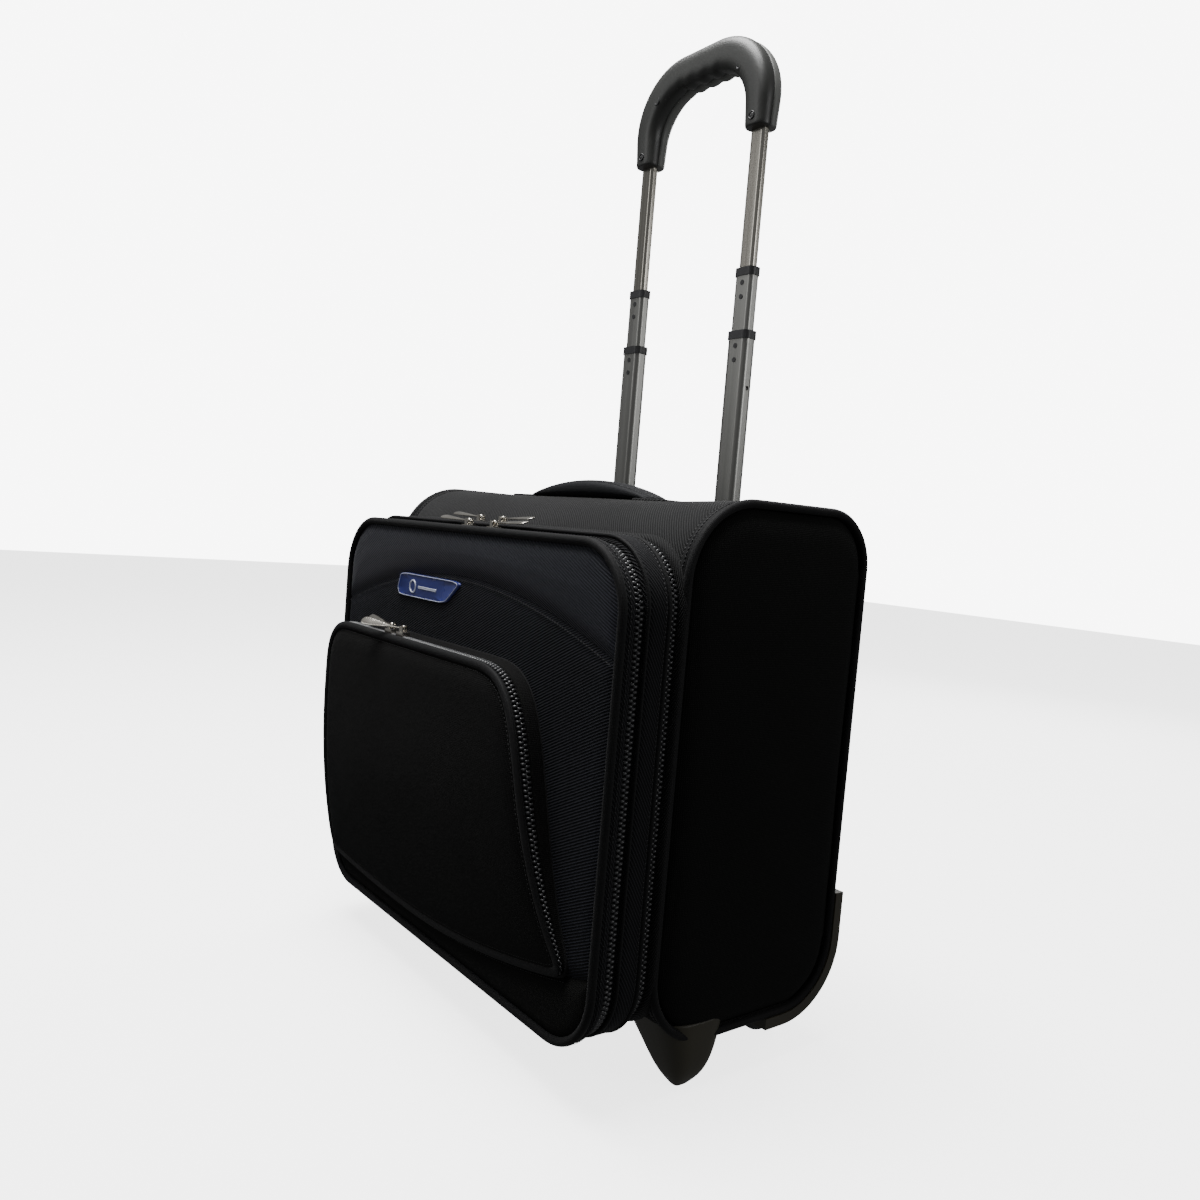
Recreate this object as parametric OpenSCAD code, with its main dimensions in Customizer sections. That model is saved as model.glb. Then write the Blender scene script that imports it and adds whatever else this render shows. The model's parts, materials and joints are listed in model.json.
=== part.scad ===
// Rolling pilot case: a soft-sided cabin case with a zipped front box, a
// zipped lid with a pocket, two wheels, two front feet and a trolley handle.
// Millimetres. +Z is up, the front faces -Y and +X is to the right seen from the front.
// Every module is drawn from the front face of the case body (y = 0) and the
// floor (z = 0); placed() then puts the middle of the footprint on the origin.

/* [Case body] */
// Width across the two side pipings
body_w = 430; // [350:1:520]
// Depth of the main body without the front box
body_d = 186; // [155:1:225]
// Height of the underside above the floor
body_bottom = 36; // [32:1:60]
// Height of the flat top above the floor
body_top = 424; // [350:1:520]
// Thickness of the padded fabric shell
shell_t = 4; // [2:0.5:6]
// Radius of the front top shoulder
front_top_r = 60; // [45:1:75]
// Radius of the back top shoulder
back_top_r = 44; // [36:1:60]
// Radius of the back bottom corner
back_bottom_r = 50; // [40:1:60]
// Radius of the front bottom corner
front_bottom_r = 55; // [40:1:60]
// Width and thickness of the side piping
piping_w = 5; // [3:0.5:8]

/* [Front box and lid] */
// Height of the lid's lower edge above the underside
lid_rise = 4; // [2:1:20]
// Depth of the lid's upper edge below the flat top
lid_drop = 34; // [30:1:60]
// Corner radius of the lid
lid_r = 50; // [35:1:60]
// How far the opening frame stands in front of the body
frame_proud = 3; // [2:0.5:6]
// Width of a zip and its tapes
zip_w = 8; // [7.5:0.5:12]
// Depth of the band between the two zips
band_d = 23; // [16:1:60]
// Depth of the lid's side wall
rim_d = 11; // [8:1:20]
// Wall of the band and of the lid
wall_t = 3; // [2:0.5:5]
// Gap between zipped pieces that part from each other
zip_gap = 0.3; // [0.2:0.1:0.6]

/* [Front pocket] */
// How far the pocket stands out from the lid
pocket_depth = 25; // [16:1:40]
// Thickness of the pocket's padded face
pocket_face_t = 5; // [3:0.5:8]
// Depth of the pocket's upper edge below the lid's
pocket_drop = 97; // [60:1:120]
// Distance of the pocket's left edge from the side of the lid
pocket_left_margin = 15; // [12:1:50]
// Distance of the pocket's right lower corner from the side of the lid
pocket_right_margin = 25; // [15:1:50]
// Height of the pocket's bowed lower seam above the lid's lower edge
pocket_rise = 27; // [15:1:50]

/* [Zip pulls] */
// Length of a slider body
slider_l = 12; // [10:0.5:16]
// Width of a slider body
slider_w = 7; // [6:0.5:7.4]
// Radius of the slider's crossbar
crossbar_r = 1; // [0.8:0.1:1.4]
// Running clearance of a pull on its crossbar
pull_clearance = 0.06; // [0.02:0.01:0.1]
// Distance from the crossbar to the centre of the pull's round end
pull_l = 42; // [30:1:50]
// Radius of the pull's round end
pull_end_r = 3.7; // [3:0.1:5]
// Turn of the forward pocket pull, degrees
pocket_pull_turn = 24; // [20:1:30]

/* [Wheels, guards and feet] */
// Radius of the wheel over its tyre
wheel_r = 27; // [22:0.5:30]
// Radius of the wheel hub, where the tyre starts
hub_r = 19; // [14:0.5:21]
// Width of the wheel
wheel_w = 18; // [14:1:24]
// Distance of the wheel's middle plane from the side of the case
wheel_inset = 46; // [42:1:52]
// Distance of the axle from the body's back face
axle_back = 28; // [26:1:40]
// Radius of the axle
axle_r = 3; // [2:0.5:4]
// Running clearance of the hub on the axle
axle_clearance = 0.05; // [0.02:0.01:0.1]
// Free space round the wheel in its well
well_gap = 3.5; // [2.5:0.5:6]
// Wall of the wheel well
well_t = 3; // [2:0.5:4]
// Thickness of the corner guards
guard_t = 9; // [5:0.5:12]
// Height of the corner guards' upper end
guard_top = 123; // [100:1:160]
// How far a guard reaches forward from the body's back face
guard_reach = 69; // [64:1:80]
// Width of a guard across the case
guard_w = 76; // [70:1:90]
// Width of a front foot at the case
foot_w = 60; // [45:1:80]
// Width of a front foot's sole
sole_w = 22; // [16:1:32]
// Distance of the foot's front edge from the body's front face
foot_front = 20; // [16:1:40]
// Length of a front foot along the case
foot_l = 60; // [45:1:70]

/* [Trolley handle] */
// Distance between the middle lines of the two poles
pole_span = 146; // [110:1:200]
// Distance of the poles' middle from the body's back face
pole_back = 19; // [18:1:24]
// Width of the first moving tube
tube_w = 23; // [20:0.5:28]
// Thickness of the first moving tube
tube_t = 14; // [12.5:0.5:16]
// How much narrower and thinner each next tube is
tube_step = 3; // [2.5:0.1:3.4]
// Wall of the tubes
tube_wall = 0.8; // [0.6:0.1:1]
// Corner radius of the first moving tube
tube_r = 4.5; // [4:0.1:5]
// Height of the first tube's upper end above the flat top
stage_1_show = 151; // [149:1:165]
// Height of the second tube's upper end above the first's
stage_2_show = 54; // [54:1:160]
// Height of the lower end of the grip's legs above the second tube
stage_3_show = 118; // [118:1:160]
// How far the first tubes slide down to the stowed handle
stage_1_down = 145; // [120:1:145]
// How far the second tubes slide down into the first
stage_2_down = 46; // [40:1:46]
// How far the third tubes slide down into the second
stage_3_down = 114; // [90:1:114]
// Height of a tube collar
collar_h = 7; // [5:0.5:10]
// Thickness of a tube collar
collar_t = 0.9; // [0.6:0.1:1.2]
// Width of the grip's section, seen from the front
grip_w = 30; // [26:0.5:34]
// Thickness of the grip's section, front to back
grip_t = 26; // [22:0.5:30]
// Rounding of the grip's section
grip_r = 9; // [6:0.5:11]
// Radius of the grip's corners at their middle line
grip_bend = 39; // [32:1:50]
// Height of the grip above its leg ends
grip_h = 88; // [80:1:110]
// Travel of the release button
button_travel = 4; // [3:0.5:5]

/* [Carry handle] */
// Length of the carry handle between its sewn ends
handle_l = 196; // [150:1:240]
// Width of the carry handle
handle_w = 32; // [24:1:40]
// Thickness of the carry handle
handle_t = 6; // [4:0.5:10]
// Space under the middle of the carry handle
handle_gap = 6; // [5:0.5:20]
// Distance of the carry handle's front edge from the body's front face
handle_front = 62; // [62:1:90]

/* [Hidden] */

$fn = 48;
ARC_STEPS = 14;
half_w = body_w / 2;
lid_bottom = body_bottom + lid_rise;
lid_top = body_top - lid_drop;
pocket_top = lid_top - pocket_drop;
pocket_left = half_w - pocket_left_margin;
pocket_right = half_w - pocket_right_margin;
pole_y = body_d - pole_back;
wheel_x = half_w - wheel_inset;
wheel_y = body_d - axle_back;
guard_front = body_d - guard_reach;
stage_1_top = body_top + stage_1_show;
stage_2_top = stage_1_top + stage_2_show;
grip_bottom = stage_2_top + stage_3_show;

// Stations from the body's front face to the pocket's face
frame_y = -frame_proud;
main_zip_y = frame_y - zip_w;
band_y = main_zip_y - band_d;
lid_zip_y = band_y - zip_w;
lid_y = lid_zip_y - rim_d;
pocket_y = lid_y - pocket_depth;

// The zips: how far each lies inside the lid's outline, and its tape
lid_zip_inset = 4;
main_zip_inset = 6;
tape_t = 3;
pocket_zip_w = 8;
pocket_zip_inset = 2;
pocket_zip_y = lid_y - pocket_depth + pocket_face_t;
pocket_zip_mid = pocket_zip_y + zip_gap + pocket_zip_w / 2;
band_rise = 3;
frame_rise = 4;
frame_ring_w = 16;
frame_back = foot_front - zip_gap;
lid_zip_top = lid_top - lid_zip_inset;
main_zip_top = lid_top;
pocket_zip_top = pocket_top - pocket_zip_inset;

// Sliders and pulls
slider_base_h = 5;
crossbar_rise = 2.9;
pin_h = slider_base_h + crossbar_rise;
eye_r = 2.4;
eye_w = 3.6;
ear_gap = 0.4;
ear_t = 1;
ear_half = 1.8;
ear_over = 2;
pull_t = 1.4;
main_left_x = -50;
main_right_x = -14;
lid_left_x = -16;
lid_right_x = 24;
pocket_left_x = -82;
pocket_right_x = -60;

// Guards stand behind the body; the furthest forward piece is the turned pull
rear_y = body_d + guard_t;
front_y = pocket_zip_mid - pull_l * sin(pocket_pull_turn) - pull_end_r;
middle_y = (front_y + rear_y) / 2;
outer_x = half_w + 1;

// Trolley tubes
tube_play = 0.9;
stage_2_w = tube_w - tube_step;
stage_2_t = tube_t - tube_step;
stage_3_w = tube_w - 2 * tube_step - 1;
stage_3_t = tube_t - 2 * tube_step + 0.4;
stage_2_r = tube_r - 1;
stage_3_r = tube_r - 1.6;
base_in_w = tube_w + 2 * tube_play;
base_in_t = tube_t + 2 * tube_play;
base_wall = 1.2;
base_bottom = body_bottom + back_bottom_r - 12;
base_top = body_top - 40;
bush_foot = 6;
bush_plug = 18;
bush_play = 0.3;
foot_play = 2;
stage_1_low = base_bottom + stage_1_down + bush_foot + 2 * foot_play;
stage_2_low = stage_1_low + bush_plug + stage_2_down + bush_foot + foot_play;
stage_3_low = stage_2_low + bush_plug + stage_3_down + bush_foot + foot_play;
rivet_r = 2.2;
rivet_proud = 0.35;
collar_gap = 0.5;
screw_r = 1.4;
screw_head_r = 2.6;
screw_play = 0.1;

// Grip
grip_mid_z = grip_bottom + grip_h - grip_w / 2;
grip_corner_x = pole_span / 2 - grip_bend;
grip_corner_z = grip_mid_z - grip_bend;
cavity_w = 14;
cavity_t = 9;
yoke_in = 1;
yoke_out = 5;
yoke_t = 3.6;
rod_x = pole_span / 2 + (yoke_in + yoke_out) / 2;
rod_r = 1.8;
tube_in_grip = 31;
button_w = 30;
button_t = 12;
button_gap = 0.4;
spring_r = 3.6;
spring_wire = 0.6;
spring_turns = 4;

// Wheels
well_r = wheel_r + well_gap;
well_half = wheel_w / 2 + well_gap;

// An arc of points about (cy, cz), starting at angle a0 and turning 90 degrees
function corner(cy, cz, r, a0) =
    [for (i = [0:ARC_STEPS]) let (a = a0 + 90 * i / ARC_STEPS)
        [cy + r * cos(a), cz + r * sin(a)]];

// Side outline of the body, moved inwards by the inset
function side_outline(inset = 0) = concat(
    corner(front_bottom_r, body_bottom + front_bottom_r,
        front_bottom_r - inset, 180),
    corner(body_d - back_bottom_r, body_bottom + back_bottom_r,
        back_bottom_r - inset, 270),
    corner(body_d - back_top_r, body_top - back_top_r,
        back_top_r - inset, 0),
    corner(front_top_r, body_top - front_top_r, front_top_r - inset, 90));

// Front outline with four equal corners
function front_outline(half, low, high, r) = concat(
    corner(-half + r, low + r, r, 180), corner(half - r, low + r, r, 270),
    corner(half - r, high - r, r, 0), corner(-half + r, high - r, r, 90));

// Point of a cubic curve through four control points
function cubic(p, t) =
    p[0] * pow(1 - t, 3) + 3 * p[1] * t * pow(1 - t, 2)
    + 3 * p[2] * pow(t, 2) * (1 - t) + p[3] * pow(t, 3);

// Height of the pocket's bowed lower seam at x
function pocket_low(x) = lid_bottom + pocket_rise + pow(x + 50, 2) / 1745;

// Pocket outline: square at the left, sweeping down at the right
function pocket_outline(inset = 0) =
    let (left = -pocket_left + inset, top = pocket_top - inset, r = 35 - inset,
        right = pocket_right - inset,
        sweep = [[right - 110, top], [right - 40, top],
            [right - 60, pocket_top - 93],
            [right, pocket_low(pocket_right) + inset]],
        low = [for (i = [0:16]) let (x = left + (right - left) * i / 16)
            [x, pocket_low(x) + inset]])
    concat(low, [for (i = [19:-1:1]) cubic(sweep, i / 20)],
        [[right - 110, top]], corner(left + r, top - r, r, 90));

// Puts the middle of the footprint on the origin
module placed() {
    translate([0, -middle_y, 0]) children();
}

// A left and a right copy
module both_sides() {
    children();
    mirror([1, 0, 0]) children();
}

// Side view points drawn across the case, from x0 to x1
module across(points, x0, x1) {
    translate([x0, 0, 0]) rotate([90, 0, 90])
        linear_extrude(x1 - x0) polygon(points);
}

// Front view points drawn from y0 back to y1
module through(points, y0, y1) {
    translate([0, y1, 0]) rotate([90, 0, 0])
        linear_extrude(y1 - y0) polygon(points);
}

// A flat ring of front view outlines
module front_ring(outer, inner, y0, y1) {
    difference() {
        through(outer, y0, y1);
        through(inner, y0 - 1, y1 + 1);
    }
}

// A block given by its two far corners
module block(low, high) {
    translate(low) cube(high - low);
}

// Round bar along X, along Y
module bar_x(r, x0, x1) {
    translate([x0, 0, 0]) rotate([0, 90, 0]) cylinder(r = r, h = x1 - x0);
}

module bar_y(r, y0, y1) {
    translate([0, y0, 0]) rotate([-90, 0, 0]) cylinder(r = r, h = y1 - y0);
}

// Rounded rectangle, made of squares and true circles
module rounded(w, t, r) {
    square([w - 2 * r, t], center = true);
    square([w, t - 2 * r], center = true);
    for (x = [-1, 1], y = [-1, 1])
        translate([x * (w / 2 - r), y * (t / 2 - r)]) circle(r);
}

// Upright solid of rounded section
module post(w, t, r, z0, z1) {
    translate([0, 0, z0]) linear_extrude(z1 - z0) rounded(w, t, r);
}

// Children at the two poles
module at_poles() {
    for (side = [-1, 1]) translate([side * pole_span / 2, pole_y, 0])
        children();
}

// ---- Case body ----

// Shell wrap between the side pipings
module wrap() {
    difference() {
        across(side_outline(), -half_w + piping_w, half_w - piping_w);
        across(side_outline(shell_t), -half_w, half_w);
    }
}

top_split = body_top - front_top_r;
bottom_split = body_bottom + front_bottom_r;
bezel_half = pole_span / 2 + 27;
bezel_front = pole_y - 19;

module bezel_space() {
    block([-bezel_half, bezel_front, base_top],
        [bezel_half, body_d + 10, body_top + 10]);
}

module side_panel() {
    across(side_outline(piping_w), half_w - piping_w, half_w - 0.5);
}

module left_side_panel() {
    placed() color("#17181b") mirror([1, 0, 0]) side_panel();
}

module right_side_panel() {
    placed() color("#17181b") side_panel();
}

module top_panel() {
    placed() color("#1b1c20") difference() {
        intersection() {
            wrap();
            block([-half_w, -1, top_split], [half_w, body_d + 1, body_top + 1]);
        }
        bezel_space();
    }
}

module back_panel() {
    placed() color("#1b1c20") intersection() {
        wrap();
        block([-half_w, body_d / 2, bottom_split], [half_w, body_d + 1, top_split]);
    }
}

module bottom_panel() {
    placed() color("#151618") difference() {
        intersection() {
            wrap();
            block([-half_w, -1, body_bottom - 1],
                [half_w, body_d + 1, bottom_split]);
        }
        wheel_wells_space();
        base_screw_holes();
    }
}

module side_piping() {
    placed() color("#0f1012") both_sides() difference() {
        across(side_outline(), half_w - piping_w, half_w);
        across(side_outline(piping_w), half_w - piping_w - 1, half_w + 1);
    }
}

module opening_frame() {
    half = half_w - 1;
    low = lid_bottom + frame_rise;
    high = lid_top + frame_rise;
    placed() color("#17181b") difference() {
        front_ring(front_outline(half, low, high, lid_r),
            front_outline(half - frame_ring_w, low + frame_ring_w,
                high - frame_ring_w, lid_r - frame_ring_w),
            frame_y, frame_back);
        across(side_outline(), -half_w, half_w);
    }
}

// Tape and teeth of a zip as one ring
module zip_ring(half, low, high, r, y0, y1) {
    front_ring(front_outline(half, low, high, r),
        front_outline(half - tape_t, low + tape_t, high - tape_t, r - tape_t),
        y0, y1);
}

module main_zip() {
    placed() color("#26272a") zip_ring(half_w - main_zip_inset,
        lid_bottom + main_zip_inset, main_zip_top, lid_r - main_zip_inset,
        main_zip_y, frame_y);
}

wire_r = 1.5;
wire_bend = 35;
wire_half = half_w - piping_w - wire_r - 2;
wire_low = bottom_split - 8;
wire_high = top_split + 6;
wire_y = shell_t + 2 * wire_r;

// A quarter bend of the wire, turned by a quarter turns from upper right
module wire_corner(x, z, a) {
    translate([x, wire_y, z]) rotate([90, 90 * a, 0])
        rotate_extrude(angle = 90) translate([wire_bend, 0]) circle(wire_r);
}

module wire_frame() {
    x = wire_half - wire_bend;
    low = wire_low + wire_bend;
    high = wire_high - wire_bend;
    placed() color("#8d9094") {
        for (side = [-1, 1]) translate([side * wire_half, wire_y, low])
            cylinder(r = wire_r, h = high - low);
        for (z = [wire_low, wire_high]) translate([0, wire_y, z]) bar_x(wire_r, -x, x);
        wire_corner(x, high, 0);
        wire_corner(x, low, 1);
        wire_corner(-x, low, 2);
        wire_corner(-x, high, 3);
    }
}

board_t = 3;
module back_board() {
    y = body_d - shell_t;
    placed() color("#3a3b3d") block([-half_w + 20, y - board_t, bottom_split + 4],
        [half_w - 20, y, top_split - 4]);
}

cover_front = pole_y - 15;
cover_low = 2 * wheel_r + well_gap + well_t + 7.5;
module trolley_cover() {
    placed() color("#2c2d31") block([-half_w + piping_w, cover_front, cover_low],
        [half_w - piping_w, cover_front + 2, body_top - shell_t - 8]);
}

sleeve_half = 175;
sleeve_depth = 27;
sleeve_top = body_top - 94;
sleeve_wall = 3;
module laptop_sleeve() {
    front = cover_front - sleeve_depth;
    placed() color("#33353a") difference() {
        block([-sleeve_half, front, cover_low], [sleeve_half, cover_front, sleeve_top]);
        block([-sleeve_half + sleeve_wall, front + sleeve_wall, cover_low + sleeve_wall],
            [sleeve_half - sleeve_wall, cover_front + 1, sleeve_top + 1]);
    }
}

// ---- Wheels, guards, feet and their fasteners ----

module wheel_wells_space() {
    both_sides() translate([wheel_x, wheel_y, wheel_r])
        bar_x(well_r + well_t, -well_half - well_t, well_half + well_t);
}

base_screw_r = 2;
base_screw_xs = [half_w - 37, half_w - 15];
foot_screw_y = foot_front + 26;
guard_screw_xs = [outer_x - guard_w + 6, outer_x - 16];
guard_screw_y = guard_front + 5;
base_screw_low = body_bottom - 5;
base_screw_seat = body_bottom + shell_t - 1;

// Children at every screw of the underside
module at_base_screws() {
    both_sides() {
        for (x = base_screw_xs) translate([x, foot_screw_y, 0]) children();
        for (x = guard_screw_xs) translate([x, guard_screw_y, 0]) children();
    }
}

module base_screw_holes() {
    at_base_screws() {
        translate([0, 0, base_screw_low - screw_play])
            cylinder(r = base_screw_r + screw_play, h = shell_t + 9);
        translate([0, 0, base_screw_seat])
            cylinder(r = 2 * base_screw_r + screw_play, h = 4 * shell_t);
    }
}

module corner_guard() {
    inner_x = outer_x - guard_w;
    difference() {
        union() {
            difference() {
                across(side_outline(-guard_t), inner_x, outer_x);
                across(side_outline(), inner_x - 1, half_w);
                across(side_outline(-0.5), half_w - 0.5, outer_x + 1);
            }
            intersection() {
                across(side_outline(-guard_t), inner_x, outer_x);
                translate([wheel_x, wheel_y, wheel_r])
                    bar_x(well_r + well_t, -well_half - well_t, well_half + well_t);
            }
        }
        block([0, -guard_t - 1, 0], [outer_x + 1, guard_front, body_top + guard_t + 1]);
        block([0, 0, guard_top], [outer_x + 1, rear_y + 1, body_top + guard_t + 1]);
        translate([wheel_x, wheel_y, wheel_r]) {
            bar_x(well_r, -well_half, well_half);
            bar_x(axle_r + axle_clearance, -well_half - well_t - 1,
                well_half + well_t + 1);
        }
    }
}

module corner_guards() {
    placed() color("#3a3833") difference() {
        both_sides() corner_guard();
        base_screw_holes();
    }
}

// Side view of a foot: upright front, curved heel rising to the rear
function foot_side() =
    let (front = foot_front, back = foot_front + foot_l,
        heel = [[front + 33, 0], [front + 45, 6], [back - 4, 22], [back, 42]])
    concat([[front, body_bottom + 20], [front, body_bottom + 10],
        [front + 12, body_bottom - 4], [front + 16, 2], [front + 18, 0]],
        [for (i = [0:10]) cubic(heel, i / 10)],
        [[back, body_bottom + 20]]);

// Front view of a foot: upright outside, drawn in towards the sole
function foot_face() = [
    [outer_x, body_bottom + 20], [outer_x, 4], [outer_x - 4, 0],
    [outer_x - 4 - sole_w, 0], [outer_x - 10 - sole_w, 6],
    [outer_x - foot_w + 12, body_bottom - 10],
    [outer_x - foot_w, body_bottom + 4], [outer_x - foot_w, body_bottom + 20]];

module front_feet() {
    placed() color("#3a3833") difference() {
        both_sides() intersection() {
            across(foot_side(), outer_x - foot_w, outer_x);
            through(foot_face(), 0, body_d);
        }
        across(side_outline(), -half_w, half_w);
        base_screw_holes();
    }
}

module wheel_axles() {
    placed() color("#b9bbbe") both_sides() translate([wheel_x, wheel_y, wheel_r])
        bar_x(axle_r, -well_half - well_t, well_half + well_t);
}

module base_screws() {
    placed() color("#77797c") at_base_screws() {
        translate([0, 0, base_screw_low])
            cylinder(r = base_screw_r, h = base_screw_seat - base_screw_low);
        translate([0, 0, base_screw_seat]) cylinder(r = 2 * base_screw_r, h = 2);
    }
}

module hub() {
    difference() {
        union() {
            bar_x(hub_r, -wheel_w / 2 + 3, wheel_w / 2 - 3);
            bar_x(axle_r + 4, -wheel_w / 2 - 1, wheel_w / 2 + 1);
        }
        bar_x(axle_r + axle_clearance, -wheel_w, wheel_w);
    }
}

module tyre() {
    rotate([0, 90, 0]) rotate_extrude() difference() {
        translate([(hub_r + wheel_r) / 2, 0]) rounded(wheel_r - hub_r, wheel_w, 2.5);
        translate([0, -wheel_w / 2 + 3]) square([hub_r, wheel_w - 6]);
    }
}

module at_wheel(side) {
    placed() translate([side * wheel_x, wheel_y, wheel_r]) children();
}

module left_hub() { color("#4a4b4d") at_wheel(-1) hub(); }
module left_tyre() { color("#141414") at_wheel(-1) tyre(); }
module right_hub() { color("#4a4b4d") at_wheel(1) hub(); }
module right_tyre() { color("#141414") at_wheel(1) tyre(); }

// ---- Trolley, fixed part ----

sleeve_t = 2;
module trolley_bezel() {
    placed() color("#1d1e20") difference() {
        union() {
            difference() {
                intersection() {
                    across(side_outline(-1), -bezel_half, bezel_half);
                    bezel_space();
                }
                across(side_outline(shell_t - 1), -bezel_half - 1, bezel_half + 1);
            }
            intersection() {
                at_poles() post(base_in_w + 2 * sleeve_t, base_in_t + 2 * sleeve_t,
                    tube_r + sleeve_t, base_top, body_top + 2);
                across(side_outline(-1), -bezel_half, bezel_half);
            }
        }
        at_poles() post(base_in_w, base_in_t, tube_r + tube_play,
            base_top - 1, body_top + 3);
    }
}

module base_tubes() {
    placed() color("#9a9c9f") difference() {
        at_poles() post(base_in_w + 2 * base_wall, base_in_t + 2 * base_wall,
            tube_r + tube_play + base_wall, base_bottom, base_top);
        at_poles() post(base_in_w, base_in_t, tube_r + tube_play,
            base_bottom - 1, base_top + 1);
    }
}

socket_front = pole_y - 13;
socket_half = 20;
module tube_socket() {
    low = body_bottom + shell_t;
    placed() color("#2a2b2d") difference() {
        intersection() {
            union() {
                at_poles() block([-socket_half, socket_front - pole_y, low],
                    [socket_half, body_d - pole_y, base_bottom + 14]);
                block([-pole_span / 2, socket_front, low], [pole_span / 2, body_d, low + 6]);
            }
            across(side_outline(shell_t), -half_w, half_w);
        }
        at_poles() {
            post(base_in_w + 2 * base_wall, base_in_t + 2 * base_wall,
                tube_r + tube_play + base_wall, base_bottom, base_bottom + 15);
            block([4 - socket_half, socket_front - pole_y - 1, low + 6],
                [socket_half - 4, 8, base_bottom - 4]);
        }
    }
}

// ---- Carry handle ----

// Height of the handle's lower side over the top panel at x
function handle_low(x) = let (u = 2 * x / handle_l)
    body_top + handle_gap * pow(1 - u * u, 2);

module carry_handle() {
    steps = 24;
    span = [for (i = [0:steps]) -handle_l / 2 + handle_l * i / steps];
    under = [for (x = span) [x, handle_low(x)]];
    over = [for (i = [steps:-1:0]) [span[i], handle_low(span[i])
        + handle_t - 3 * pow(2 * span[i] / handle_l, 6)]];
    placed() color("#141518") through(concat(under, over),
        handle_front, handle_front + handle_w);
}

// ---- Trolley, moving stages ----

module stage_tubes(w, t, r, z0, z1) {
    difference() {
        at_poles() post(w, t, r, z0, z1);
        at_poles() post(w - 2 * tube_wall, t - 2 * tube_wall, r - tube_wall,
            z0 - 1, z1 + 1);
    }
}

lock_hole_r = 2;
lock_hole_drop = 48;
module stage_1_tubes() {
    placed() color("#76787b") difference() {
        stage_tubes(tube_w, tube_t, tube_r, stage_1_low, stage_1_top);
        both_sides() translate([pole_span / 2, pole_y, stage_1_top - lock_hole_drop])
            bar_x(lock_hole_r, 0, tube_w);
    }
}

// Collar caps a tube and guides the next one; two rivets lie below it
module stage_collars(w, t, r, next_w, next_t, next_r, top) {
    difference() {
        at_poles() post(w + 2 * collar_t, t + 2 * collar_t, r + collar_t,
            top - collar_h + 1, top + 1);
        at_poles() post(w, t, r, top - collar_h, top);
        at_poles() post(next_w + 2 * collar_gap, next_t + 2 * collar_gap,
            next_r + collar_gap, top - 1, top + 2);
    }
    at_poles() for (drop = [collar_h + 5, collar_h + 17])
        translate([0, 0, top - drop]) bar_y(rivet_r, -t / 2 - rivet_proud, -t / 2);
}

module stage_1_collars() {
    placed() color("#2b2c2e") stage_collars(tube_w, tube_t, tube_r,
        stage_2_w, stage_2_t, stage_2_r, stage_1_top);
}

// Plastic plug at the foot of a tube, guided by the tube round it
module stage_bushes(w, t, r, out_w, out_t, low) {
    at_poles() {
        post(out_w - 2 * bush_play, out_t - 2 * bush_play, r, low - bush_foot, low);
        post(w - 2 * tube_wall - 0.1, t - 2 * tube_wall - 0.1, r - tube_wall,
            low, low + bush_plug);
    }
}

module stage_1_bushes() {
    placed() color("#2f3033") stage_bushes(tube_w, tube_t, tube_r,
        base_in_w, base_in_t, stage_1_low);
}

module stage_2_tubes() {
    placed() color("#7c7e81") stage_tubes(stage_2_w, stage_2_t, stage_2_r,
        stage_2_low, stage_2_top);
}

module stage_2_collars() {
    placed() color("#2b2c2e") stage_collars(stage_2_w, stage_2_t, stage_2_r,
        stage_3_w, stage_3_t, stage_3_r, stage_2_top);
}

module stage_2_bushes() {
    placed() color("#2f3033") stage_bushes(stage_2_w, stage_2_t, stage_2_r,
        tube_w - 2 * tube_wall, tube_t - 2 * tube_wall, stage_2_low);
}

stage_3_top = grip_bottom + tube_in_grip;
module stage_3_tubes() {
    placed() color("#b5a98f") difference() {
        stage_tubes(stage_3_w, stage_3_t, stage_3_r, stage_3_low, stage_3_top);
        grip_screw_holes();
    }
}

module stage_3_bushes() {
    placed() color("#2f3033") stage_bushes(stage_3_w, stage_3_t, stage_3_r,
        stage_2_w - 2 * tube_wall, stage_2_t - 2 * tube_wall, stage_3_low);
}

// ---- Grip ----

// U path of a section: two legs, two bends and the bridge between them.
// The section's x runs outwards from the bends' centres.
module grip_path(leg_low) {
    translate([0, pole_y, 0]) {
        both_sides() {
            translate([pole_span / 2, 0, leg_low])
                linear_extrude(grip_corner_z - leg_low) children();
            translate([grip_corner_x, 0, grip_corner_z]) rotate([90, 0, 0])
                rotate_extrude(angle = 90) translate([grip_bend, 0]) children();
        }
        translate([-grip_corner_x, 0, grip_mid_z]) rotate([0, 90, 0])
            linear_extrude(2 * grip_corner_x) rotate(180) children();
    }
}

scallop_r = 12;
scallop_pitch = 17;
scallop_cut = 3;
leg_screw_x = pole_span / 2 - 4.5;
leg_screw_z = grip_bottom + 6;
bend_screw = grip_bend - 9.5;

// Children at the grip's screws, seen from the front
module at_grip_screws() {
    both_sides() {
        translate([leg_screw_x, pole_y, leg_screw_z]) children();
        translate([grip_corner_x + bend_screw * cos(45), pole_y,
            grip_corner_z + bend_screw * sin(45)]) children();
    }
}

module grip_screw_holes() {
    at_grip_screws() {
        bar_y(screw_r + screw_play, -grip_t, grip_t / 2 - 6);
        bar_y(screw_head_r + screw_play, -grip_t, -grip_t / 2 + 3.5);
    }
}

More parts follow.
